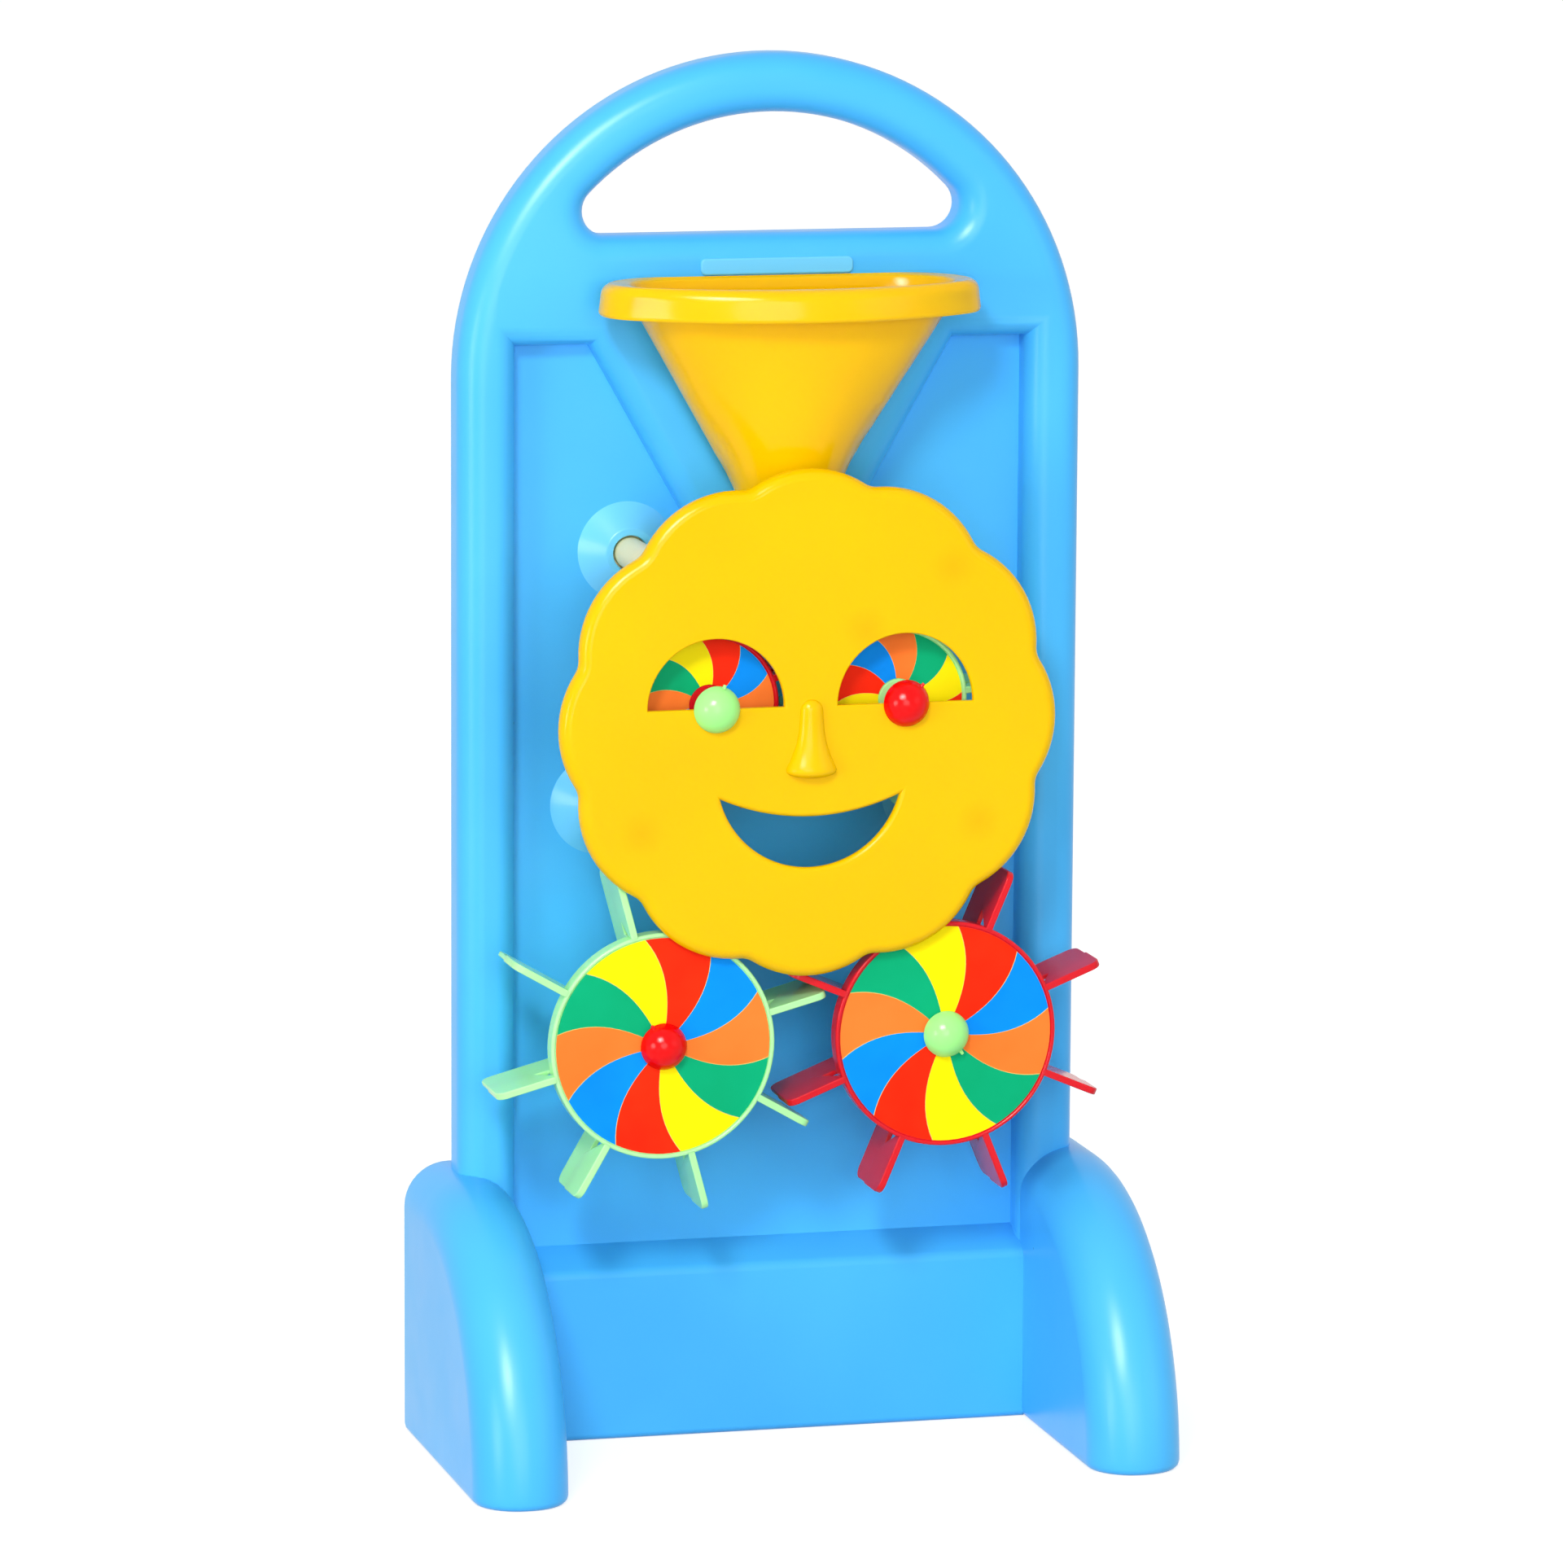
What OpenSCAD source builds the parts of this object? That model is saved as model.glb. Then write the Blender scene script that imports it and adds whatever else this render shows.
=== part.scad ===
// Sand wheel toy: an arched hollow frame on two boot-shaped feet, with a funnel at the top,
// a smiling sun whose eyes are two small sand wheels, and two large paddle wheels below it.
// Millimetres, +Z up, +X to the viewer's right, the front of the toy faces -Y.
// The origin lies on the ground, in the middle of the toy's footprint.
// A depth is a distance in front of the mid-plane of the arched frame.

/* [Frame] */
// Width of the arched frame
frame_w = 238; // [220:1:280]
// Thickness of the frame, front to back
frame_t = 26; // [22:0.5:34]
// Height of the centre of the arch
arch_z = 399.5; // [390:0.5:440]
// Rounding of the frame's outer edges
edge_r = 9; // [4:0.5:10]
// Wall of the blow-moulded shell
shell_wall = 2.2; // [1.6:0.1:3]
// Width of the border rail beside the recessed panel
rail_w = 21.7; // [16:0.1:24]
// Depth of the recessed panel below the rails
recess_depth = 13; // [10:0.5:15]
// Width of the hand grip over the hole
grip_w = 22; // [18:0.5:26]
// Height of the cross bar under the hand hole
bar_h = 40; // [36:0.5:44]
// Height of the cross bar's underside above the arch's centre
bar_rise = 12.5; // [8:0.5:14]
// Corner rounding of the hand hole
hole_corner_r = 9; // [6:0.5:12]

/* [Label plate] */
// Length of the bare label plate on the cross bar
label_l = 58; // [30:1:80]
// Height of the label plate
label_h = 6.2; // [4:0.1:8]
// How far the label plate stands proud
label_t = 1.2; // [0.6:0.1:2]

/* [Base and feet] */
// Height of the base block's front face
base_h = 64.3; // [50:0.1:75]
// Rise of the sloping ledge above the front face
ledge_rise = 8.1; // [4:0.1:14]
// How far the base block stands proud of the rails
base_proud = 1.3; // [0.5:0.1:3]
// Width of one foot
foot_w = 35.6; // [34.5:0.1:50]
// Radius of the foot's round toe, also the foot's height
foot_r = 103; // [90:0.5:112]
// Reach of the toe in front of the frame's mid-plane
foot_front = 115; // [112:0.5:130]
// Reach of the heel behind the frame's mid-plane
foot_back = 25.5; // [18:0.5:40]
// Rounding along the edges of the foot
foot_edge_r = 17; // [10:0.5:17]
// Step from the side of the recess out to the foot
foot_step = 1.2; // [0.4:0.1:3]

/* [Shield and bosses] */
// Width of the raised shield behind the funnel, at the cross bar
shield_top_w = 138; // [120:1:150]
// Width of the shield at its lower end
shield_low_w = 60; // [50:1:80]
// Height of the shield below the cross bar
shield_h = 69; // [50:1:80]
// Rounding of the shield's lower corners
shield_corner_r = 12; // [6:0.5:16]
// Radius of a conical boss where it meets the panel
boss_foot_r = 18.6; // [15:0.1:21]
// Radius of a conical boss at its top
boss_top_r = 9.4; // [9:0.1:11]
// Height of a conical boss
boss_h = 7; // [4:0.5:9]

/* [Paddle wheels] */
// Height of the paddle wheels' axes
wheel_z = 158.9; // [150:0.1:165]
// Depth of the paddle wheels' front rim
wheel_front = 61; // [58:0.5:61]
// Outer radius of a paddle wheel's rim
wheel_rim_r = 42.2; // [38:0.1:44]
// Radius over the paddle tips
wheel_tip_r = 63; // [58:0.1:65]
// Width of the paddles, front to back
wheel_paddle_w = 31.5; // [24:0.5:36]
// Room between a paddle tip and the other wheel's rim
wheel_mesh_gap = 2.4; // [1.5:0.1:4]

/* [Eye wheels] */
// Height of the eye wheels' axes
eye_z = 284.2; // [280:0.1:290]
// Depth of the eye wheels' front rim
eye_front = 56; // [52:0.5:57]
// Outer radius of an eye wheel's rim
eye_rim_r = 26.4; // [24:0.1:28]
// Radius over the eye wheels' paddle tips
eye_tip_r = 41.5; // [38:0.1:42]
// Width of the eye wheels' paddles, front to back
eye_paddle_w = 30; // [22:0.5:33]
// Room between an eye wheel's paddle tip and the other wheel's rim
eye_mesh_gap = 3.7; // [2:0.1:6]

/* [Wheel details] */
// Number of paddles on each wheel
paddle_count = 8; // [6:1:8]
// Thickness of the front part of a paddle
paddle_front_t = 2.6; // [2:0.1:3]
// Thickness of the rear part of a paddle
paddle_rear_t = 1.8; // [1.2:0.1:2.4]
// Share of a paddle's width that has the front thickness
paddle_front_share = 0.57; // [0.4:0.01:0.7]
// Rounding of a paddle's tip corners
paddle_corner_r = 4; // [2:0.5:6]
// Thickness of the rim's side wall
rim_wall = 1.6; // [1:0.1:2.4]
// Depth of the rim's side wall
rim_depth = 6.5; // [5:0.5:12]
// Thickness of the wheel's web
web_t = 2; // [1.5:0.1:3]
// How far the web lies behind the rim's edge
web_recess = 0.8; // [0.5:0.1:1.5]
// Thickness of a printed sticker
sticker_t = 0.3; // [0.1:0.05:0.4]
// Radius of a wheel's hub
hub_r = 7.2; // [6.5:0.1:8.5]

/* [Pins and pegs] */
// Radius of a wheel pin's shaft
pin_r = 4; // [3:0.1:4.5]
// Radius of a pin's domed head
pin_head_r = 8.8; // [7.5:0.1:10]
// Height of a pin's domed head
pin_head_h = 7; // [5:0.1:8]
// Radius of a sun peg
peg_r = 5.8; // [5:0.1:5.9]
// Radius of the hole in a boss that takes a sun peg
peg_hole_r = 6.6; // [6.5:0.1:7]
// Radius of a funnel peg's shaft
clip_r = 4; // [3:0.1:5]
// Radius of a funnel peg's head
clip_head_r = 7; // [6:0.1:9]

/* [Sun] */
// Depth of the sun's front face
sun_front = 67; // [67:0.5:72]
// Radius over the sun's lobes
sun_r = 93.9; // [90:0.1:96]
// Radius of the ring on which the lobes' centres lie
lobe_ring_r = 55.6; // [52:0.1:58]
// Number of lobes
lobe_count = 12; // [10:1:14]
// Drop of the sun's centre below the eyes
sun_drop = 6.9; // [4:0.1:10]
// Thickness of the sun's plate
sun_plate_t = 2.5; // [2:0.1:3]
// Depth of the sun's turned edge
sun_edge_d = 5; // [4:0.1:5.2]
// Thickness of the turned edge
sun_edge_t = 2.4; // [1.6:0.1:4]
// Radius of the half-round eye windows
window_r = 25.8; // [22:0.1:27]
// Half the width of the smiling mouth
mouth_half_w = 34; // [28:0.1:36]
// Height of the mouth's corners below the eyes
mouth_drop = 33.6; // [30:0.1:36]
// Sag of the mouth's lower edge below its corners
mouth_low_sag = 26.3; // [22:0.1:28]
// Sag of the mouth's upper edge below its corners
mouth_top_sag = 7.4; // [4:0.1:10]
// Distance of the upper pegs from the middle
peg_upper_x = 53.5; // [51:0.1:55]
// Height of the upper pegs above the sun's centre
peg_upper_rise = 56.8; // [54:0.1:57]
// Distance of the lower pegs from the middle
peg_lower_x = 63.8; // [60:0.1:66]
// Drop of the lower pegs below the sun's centre
peg_lower_drop = 38; // [35:0.1:40]
// Length of the nose
nose_l = 28; // [22:0.5:30]
// Width of the nose at its lower end
nose_w = 19.2; // [14:0.1:22]
// How far the nose stands out
nose_h = 6; // [4:0.1:8]
// Height of the nose's upper end above the eyes
nose_rise = 2.5; // [0:0.1:5]

/* [Funnel] */
// Width of the funnel over its lip
funnel_w = 145; // [135:0.5:160]
// Depth of the funnel's front lip
funnel_front = 73; // [66:0.5:80]
// Rounding of the lip's ends in plan
funnel_end_r = 24; // [18:0.5:26]
// Width of the flat lip round the mouth
lip_w = 11; // [7:0.5:12]
// Height of the lip's outer band
lip_h = 12; // [8:0.5:16]
// Drop of the funnel's lip below the top of the cross bar
lip_drop = 15; // [13:0.5:18]
// Height of the whole funnel
funnel_h = 85; // [78:0.5:88]
// Wall of the funnel
funnel_wall = 2; // [1.5:0.1:3]
// Width of the outlet
outlet_w = 28; // [24:0.5:36]
// Depth of the outlet's front
outlet_front = 47; // [42:0.5:50]

/* [Clearances] */
// Radial clearance of a shaft in its bore
run_gap = 0.06; // [0.03:0.01:0.1]
// Clearance between faces that slide past each other or seat
face_gap = 0.3; // [0.2:0.05:0.5]

/* [Hidden] */

$fn = 96;
// Facets of the round shapes inside a hull
hull_fn = 40;
// Overrun of every cut past the face that it opens
overrun = 1;
// Thickness of the slices that a hull joins
slice = 0.4;
// How far a corner circle stands past the arc that it rounds off, so that the two cross cleanly
corner_lap = 0.1;
// Steps along a corner of a hull's slice
slice_steps = 8;

// The frame's mid-plane, placed so that the toe and the heel lie equally far from the origin
frame_y = (foot_front - foot_back) / 2;
arch_r = frame_w / 2;
hole_r = arch_r - grip_w;
bar_low_z = arch_z + bar_rise;
bar_top_z = bar_low_z + bar_h;
panel_depth = frame_t / 2 - recess_depth;
recess_half_w = arch_r - rail_w;
foot_in_x = recess_half_w + foot_step;
foot_axis_depth = foot_front - foot_r;
base_front = frame_t / 2 + base_proud;
ledge_top_z = base_h + ledge_rise;

// Places of the wheels, the sun and its pegs
wheel_x = (wheel_tip_r + wheel_rim_r + wheel_mesh_gap) / 2;
eye_x = (eye_tip_r + eye_rim_r + eye_mesh_gap) / 2;
sun_z = eye_z - sun_drop;
lobe_r = sun_r - lobe_ring_r;
sun_back = sun_front - sun_plate_t;
peg_upper = [peg_upper_x, sun_z + peg_upper_rise];
peg_lower = [peg_lower_x, sun_z - peg_lower_drop];

// Turn of each wheel at rest, counter-clockwise as seen from the front
wheel_left_turn = 15;
wheel_right_turn = 22;
eye_left_turn = 20;
eye_right_turn = 5;

// Bores in the frame: they stop short of the back wall
bore_end = shell_wall - frame_t / 2;
post_wall = 3;
boss_top = panel_depth + boss_h;

// The sun's sockets behind its plate
socket_wall = 2.2;
socket_l = 6;

// The peg's thicker root ends inside the boss
peg_root_end = boss_top / 2;

// The funnel's lip, mouth and outlet
lip_z = bar_top_z - lip_drop;
outlet_z = lip_z - funnel_h;
funnel_back = frame_t / 2 + face_gap;
mouth_end_r = funnel_end_r - lip_w + funnel_wall;
outlet_end_r = outlet_w / 3;
clip_head_t = 2;
clip_z = bar_low_z + bar_h / 4;
// Half of the flat in the funnel's back wall, at the mouth, at the outlet and at the pegs' height
mouth_flat = funnel_w / 2 - lip_w + funnel_wall - mouth_end_r;
outlet_flat = outlet_w / 2 - outlet_end_r;
clip_flat = mouth_flat + (outlet_flat - mouth_flat) * (lip_z - clip_z) / funnel_h;
// Room between the head of a funnel peg and the end of that flat
clip_room = 3.765;
clip_x = clip_flat - clip_head_r - clip_room;
label_z = lip_z + label_h / 2 + face_gap;

frame_blue = "#5cbcfb";
sun_yellow = "#ffd400";
wheel_green = "#8ee07c";
wheel_red = "#d4202c";
head_green = "#a4f59a";
peg_cream = "#efe9c2";
print_white = "#f4f1e6";

// Shapes in plan or in outline

module rounded_rect(w, t, r) {
    square([w - 2 * r, t], center = true);
    square([w, t - 2 * r], center = true);
    for (sx = [-1, 1], sy = [-1, 1])
        translate([sx * (w / 2 - r), sy * (t / 2 - r)])
            circle(r);
}

// The right half of a rounded rectangle, for turning about its middle line
module half_rounded_rect(w, t, r) {
    intersection() {
        rounded_rect(w, t, r);
        translate([0, -t / 2])
            square([w / 2, t]);
    }
}

// A D-shaped plan: a straight back, round ends and a front arc that meets the ends smoothly
module d_plan(half_w, back, front, end_r) {
    a = half_w - end_r;
    b = front - back - end_r;
    inner_r = end_r - corner_lap;
    arc_r = (a * a + b * b - inner_r * inner_r) / (2 * (b - inner_r));
    arc_y = front - arc_r;
    reach = 2 * arc_r / norm([a, back + end_r - arc_y]);
    for (side = [-1, 1])
        translate([side * a, back + end_r])
            circle(end_r);
    translate([-a, back])
        square([2 * a, end_r]);
    intersection() {
        translate([0, arc_y])
            circle(arc_r);
        polygon([for (side = [0, -1, 1])
            side == 0 ? [0, arc_y] : [side * a * reach, arc_y + (back + end_r - arc_y) * reach]]);
        translate([-half_w, back])
            square([2 * half_w, front - back + overrun]);
    }
}

// The same plan as points, evenly spaced along each arc
function d_points(half_w, back, front, end_r, n) =
    let (a = half_w - end_r,
         b = front - back - end_r,
         arc_r = (a * a + b * b - end_r * end_r) / (2 * (b - end_r)),
         arc_y = front - arc_r,
         tip = atan2(back + end_r - arc_y, a))
    concat([for (i = [0 : n]) let (t = -90 + i * (90 + tip) / n)
               [a + end_r * cos(t), back + end_r + end_r * sin(t)]],
           [for (i = [1 : 2 * n - 1]) let (t = tip + i * (90 - tip) / n)
               [arc_r * cos(t), arc_y + arc_r * sin(t)]],
           [for (i = [0 : n]) let (t = 180 - tip + i * (90 + tip) / n)
               [-a + end_r * cos(t), back + end_r + end_r * sin(t)]]);

// Draws an outline, seen from the front, between two depths
module between_depths(d0, d1) {
    translate([0, frame_y - d0, 0])
        rotate([90, 0, 0])
            linear_extrude(d1 - d0)
                children();
}

// Turns a profile about an axis that points to the front; the profile starts at a depth
module turned(x, z, depth) {
    translate([x, frame_y - depth, z])
        rotate([90, 0, 0])
            rotate_extrude()
                children();
}

// Draws a side outline of [depth, height] points across a width
module across(half_w) {
    translate([half_w, frame_y, 0])
        rotate([90, 0, -90])
            linear_extrude(2 * half_w)
                children();
}

// Draws a plan of [x, depth] points upwards from a height
module upwards(z, h) {
    translate([0, frame_y, z])
        mirror([0, 1, 0])
            linear_extrude(h)
                children();
}

// The blow-moulded frame

module hand_hole(inset) {
    r = hole_r + inset;
    corner_r = hole_corner_r + inset;
    corner_z = bar_top_z - arch_z + hole_corner_r;
    corner_x = sqrt(pow(hole_r - hole_corner_r + corner_lap, 2) - corner_z * corner_z);
    tangent = [corner_x, corner_z] * r / norm([corner_x, corner_z]);
    translate([0, arch_z]) {
        intersection() {
            circle(r);
            translate([-r, tangent[1]])
                square([2 * r, r]);
        }
        polygon([tangent, [corner_x, corner_z], [corner_x, corner_z - corner_r],
                 [-corner_x, corner_z - corner_r], [-corner_x, corner_z], [-tangent[0], tangent[1]]]);
        for (side = [-1, 1])
            translate([side * corner_x, corner_z])
                circle(corner_r);
    }
}

// The shield tapers downwards, and its lower corners are round
module shield(inset) {
    slant = [(shield_top_w - shield_low_w) / 2, shield_h];
    slant_l = norm(slant);
    low_z = bar_low_z - shield_h + inset;
    r = shield_corner_r;
    along = r * (1 - slant[0] / slant_l) / slant[1];
    corner_x = shield_low_w / 2 - inset + along * slant[0] - r * slant[1] / slant_l;
    tangent = [corner_x, low_z + r] + r * [slant[1], -slant[0]] / slant_l;
    top_x = shield_top_w / 2 - inset;
    polygon([[-top_x, bar_low_z + overrun], [top_x, bar_low_z + overrun], tangent,
             [corner_x, low_z], [-corner_x, low_z], [-tangent[0], tangent[1]]]);
    for (side = [-1, 1])
        translate([side * corner_x, low_z + r])
            circle(r);
}

module recess(inset) {
    difference() {
        across(recess_half_w + inset)
            polygon([[panel_depth - inset, bar_low_z + inset],
                     [panel_depth - inset, ledge_top_z - inset],
                     [base_front, base_h - inset],
                     [frame_t, base_h - inset],
                     [frame_t, bar_low_z + inset]]);
        between_depths(panel_depth - inset - overrun, frame_t / 2 - inset)
            shield(inset);
    }
}

module foot(side, inset) {
    w = foot_w - 2 * inset;
    h = foot_r - inset;
    r = foot_edge_r - inset;
    translate([side * (foot_in_x + foot_w / 2), frame_y - foot_axis_depth, 0]) {
        rotate([180, -90, 0])
            rotate_extrude(angle = 90)
                half_rounded_rect(2 * h, w, r);
        rotate([90, -90, 180])
            linear_extrude(foot_axis_depth + foot_back - inset)
                half_rounded_rect(2 * h, w, r);
    }
}

// The frame's outer form, or with an inset the hollow inside it
module frame_form(inset) {
    difference() {
        union() {
            translate([0, frame_y, 0])
                linear_extrude(arch_z)
                    rounded_rect(frame_w - 2 * inset, frame_t - 2 * inset, edge_r - inset);
            translate([0, frame_y, arch_z])
                rotate([90, 0, 0])
                    rotate_extrude(angle = 180)
                        half_rounded_rect(frame_w - 2 * inset, frame_t - 2 * inset, edge_r - inset);
        }
        between_depths(-frame_t, frame_t)
            hand_hole(inset);
        recess(inset);
    }
    across(foot_in_x + foot_w / 4)
        polygon([[inset - frame_t / 2, 0],
                 [base_front - inset, 0],
                 [base_front - inset, base_h - inset],
                 [panel_depth - inset, ledge_top_z - inset],
                 [inset - frame_t / 2, ledge_top_z - inset]]);
    for (side = [-1, 1])
        foot(side, inset);
}

// The places where pins and pegs enter the frame: [x, z, bore radius]
function boss_places() = [for (side = [-1, 1]) each [
    [side * wheel_x, wheel_z, pin_r + run_gap],
    [side * eye_x, eye_z, pin_r + run_gap],
    [side * peg_upper[0], peg_upper[1], peg_hole_r],
    [side * peg_lower[0], peg_lower[1], peg_hole_r]]];

function clip_places() = [for (side = [-1, 1]) [side * clip_x, clip_z, clip_r + run_gap]];

module posts(places) {
    for (p = places)
        between_depths(-frame_t / 2, frame_t / 2)
            translate([p[0], p[1]])
                circle(p[2] + post_wall);
}

module bores(places) {
    for (p = places)
        between_depths(bore_end, frame_t)
            translate([p[0], p[1]])
                circle(p[2]);
}

module bosses() {
    for (p = boss_places())
        turned(p[0], p[1], panel_depth - shell_wall / 2)
            polygon([[0, 0], [boss_foot_r, 0], [boss_foot_r, shell_wall / 2],
                     [boss_top_r, boss_h + shell_wall / 2], [0, boss_h + shell_wall / 2]]);
}

module label_plate() {
    between_depths(frame_t / 2 - shell_wall / 2, frame_t / 2 + label_t)
        translate([0, label_z])
            rounded_rect(label_l, label_h, label_h / 3);
}

module frame_shell() {
    color(frame_blue)
        difference() {
            union() {
                frame_form(0);
                bosses();
                label_plate();
            }
            difference() {
                intersection() {
                    frame_form(shell_wall);
                    translate([-frame_w, -foot_front - foot_back, shell_wall])
                        cube([2 * frame_w, 2 * (foot_front + foot_back), arch_z + arch_r]);
                }
                posts(boss_places());
                posts(clip_places());
            }
            bores(boss_places());
            bores(clip_places());
        }
}

// The funnel

module funnel_slice(z, half_w, back, front, end_r) {
    upwards(z, slice)
        polygon(d_points(half_w, back, front, end_r, slice_steps));
}

// The tapered body, or with an inset the hollow in it
module funnel_taper(inset, top_over, low_over) {
    hull() {
        funnel_slice(lip_z - slice + top_over, funnel_w / 2 - lip_w + funnel_wall - inset,
                     funnel_back + inset, funnel_front - lip_w + funnel_wall - inset,
                     mouth_end_r - inset);
        funnel_slice(outlet_z - low_over, outlet_w / 2 - inset,
                     funnel_back + inset, outlet_front - inset, outlet_end_r - inset);
    }
}

module funnel() {
    color(sun_yellow)
        difference() {
            union() {
                upwards(lip_z - lip_h, lip_h)
                    difference() {
                        d_plan(funnel_w / 2, funnel_back, funnel_front, funnel_end_r);
                        d_plan(funnel_w / 2 - funnel_wall, funnel_back - overrun,
                               funnel_front - funnel_wall, funnel_end_r - funnel_wall);
                    }
                upwards(lip_z - funnel_wall, funnel_wall)
                    d_plan(funnel_w / 2, funnel_back, funnel_front, funnel_end_r);
                funnel_taper(0, 0, 0);
            }
            funnel_taper(funnel_wall, slice, slice);
            for (p = clip_places())
                between_depths(frame_t / 2, funnel_back + funnel_wall + overrun)
                    translate([p[0], p[1]])
                        circle(p[2]);
        }
}

// A funnel peg: its head lies inside the funnel, its shaft in the cross bar
module funnel_peg(side) {
    seat = funnel_back + funnel_wall;
    color(sun_yellow)
        turned(side * clip_x, clip_z, bore_end + face_gap)
            polygon([[0, 0], [clip_r, 0],
                     [clip_r, seat - bore_end - face_gap],
                     [clip_head_r, seat - bore_end - face_gap],
                     [clip_head_r, seat - bore_end - face_gap + clip_head_t / 2],
                     [clip_head_r - clip_head_t / 2, seat - bore_end - face_gap + clip_head_t],
                     [0, seat - bore_end - face_gap + clip_head_t]]);
}

// The sun

module sun_outline(inset) {
    circle(lobe_ring_r);
    for (i = [0 : lobe_count - 1])
        rotate(90 + i * 360 / lobe_count)
            translate([lobe_ring_r, 0])
                circle(lobe_r - inset);
}

function arc_radius(half_w, sag) = (half_w * half_w + sag * sag) / (2 * sag);

module mouth() {
    low_r = arc_radius(mouth_half_w, mouth_low_sag);
    top_r = arc_radius(mouth_half_w, mouth_top_sag);
    translate([0, eye_z - mouth_drop])
        difference() {
            translate([0, low_r - mouth_low_sag])
                circle(low_r);
            translate([0, top_r - mouth_top_sag])
                circle(top_r);
        }
}

// An eye window with a notch for the pin that passes at the middle of its sill
module eye_window(side) {
    translate([side * eye_x, eye_z]) {
        intersection() {
            circle(window_r);
            translate([-window_r, 0])
                square([2 * window_r, window_r]);
        }
        circle(pin_r + face_gap);
    }
}

module nose() {
    top_r = nose_w / 6;
    low_r = nose_w / 4;
    top_z = eye_z + nose_rise - top_r;
    low_z = eye_z + nose_rise - nose_l + low_r;
    intersection() {
        hull() {
            translate([0, frame_y - sun_front, top_z])
                sphere(top_r, $fn = hull_fn);
            for (side = [-1, 1])
                translate([side * (nose_w / 2 - low_r), frame_y - sun_front, low_z])
                    sphere(low_r, $fn = hull_fn);
            translate([0, frame_y - sun_front - nose_h + low_r, low_z])
                sphere(low_r, $fn = hull_fn);
        }
        between_depths(sun_front - sun_plate_t / 2, sun_front + nose_h + overrun)
            translate([-nose_w, eye_z - 2 * nose_l])
                square([2 * nose_w, 4 * nose_l]);
    }
}

module sun_face() {
    color(sun_yellow) {
        between_depths(sun_back, sun_front)
            difference() {
                translate([0, sun_z])
                    sun_outline(0);
                mouth();
                for (side = [-1, 1])
                    eye_window(side);
            }
        between_depths(sun_front - sun_edge_d, sun_back)
            translate([0, sun_z])
                difference() {
                    sun_outline(0);
                    sun_outline(sun_edge_t);
                }
        for (side = [-1, 1], p = [peg_upper, peg_lower])
            between_depths(sun_back - socket_l, sun_back)
                translate([side * p[0], p[1]])
                    difference() {
                        circle(peg_r + run_gap + socket_wall);
                        circle(peg_r + run_gap);
                    }
        nose();
    }
}

// A sun peg: a thick root pressed into the boss, and a shaft into the sun's socket
module sun_peg(side, place) {
    start = bore_end + face_gap;
    color(peg_cream)
        turned(side * place[0], place[1], start)
            polygon([[0, 0], [peg_hole_r - run_gap, 0],
                     [peg_hole_r - run_gap, peg_root_end - start],
                     [peg_r, peg_root_end - start],
                     [peg_r, sun_back - face_gap - start], [0, sun_back - face_gap - start]]);
}

// The wheels

module paddle_side(from_r, tip_r, w) {
    l = tip_r - from_r;
    r = paddle_corner_r;
    translate([from_r, 0]) {
        square([l - r, w]);
        translate([0, r])
            square([l, w - 2 * r]);
        for (y = [r, w - r])
            translate([l - r, y])
                circle(r);
    }
}

// One paddle that points along +X: its front part is thicker than its rear part
module paddle(rim_r, tip_r, front, w) {
    from_r = hub_r - rim_wall / 2;
    split = w * paddle_front_share;
    translate([0, -front, 0])
        linear_extrude(paddle_rear_t, center = true)
            difference() {
                paddle_side(from_r, tip_r, w);
                square([rim_r - rim_wall / 2, web_recess + web_t / 2]);
            }
    translate([0, -front, 0])
        linear_extrude(paddle_front_t, center = true)
            intersection() {
                paddle_side(from_r, tip_r, w);
                translate([rim_r - rim_wall / 2, 0])
                    square([tip_r, split]);
            }
}

module wheel(x, z, rim_r, tip_r, front, w, turn) {
    web_front = front - web_recess;
    turned(x, z, front - rim_depth)
        translate([rim_r - rim_wall, 0])
            square([rim_wall, rim_depth]);
    turned(x, z, web_front - web_t)
        translate([pin_r + run_gap, 0])
            square([rim_r - rim_wall / 2 - pin_r - run_gap, web_t]);
    turned(x, z, boss_top + face_gap)
        translate([pin_r + run_gap, 0])
            square([hub_r - pin_r - run_gap, front - boss_top - face_gap]);
    translate([x, frame_y, z])
        for (i = [0 : paddle_count - 1])
            rotate([0, -turn - i * 360 / paddle_count, 0])
                paddle(rim_r, tip_r, front, w);
}

module paddle_wheel(side, turn, tint) {
    color(tint)
        wheel(side * wheel_x, wheel_z, wheel_rim_r, wheel_tip_r, wheel_front, wheel_paddle_w, turn);
}

module eye_wheel(side, turn, tint) {
    color(tint)
        wheel(side * eye_x, eye_z, eye_rim_r, eye_tip_r, eye_front, eye_paddle_w, turn);
}

// A printed disc that lies on a wheel's web, inside its rim and round its hub
module sticker(x, z, rim_r, front) {
    color(print_white)
        turned(x, z, front - web_recess)
            translate([hub_r + face_gap, 0])
                square([rim_r - rim_wall - hub_r - 2 * face_gap, sticker_t]);
}

// A pin with a domed head, fixed in the frame; its head keeps a wheel or the sun in place
module wheel_pin(x, z, seat, tint) {
    start = bore_end + face_gap;
    dome_r = arc_radius(pin_head_r, pin_head_h);
    color(tint)
        turned(x, z, start) {
            square([pin_r, seat + pin_head_h / 2 - start]);
            translate([0, seat - start])
                intersection() {
                    translate([0, pin_head_h - dome_r])
                        circle(dome_r);
                    square([pin_head_r, pin_head_h]);
                }
        }
}

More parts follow.
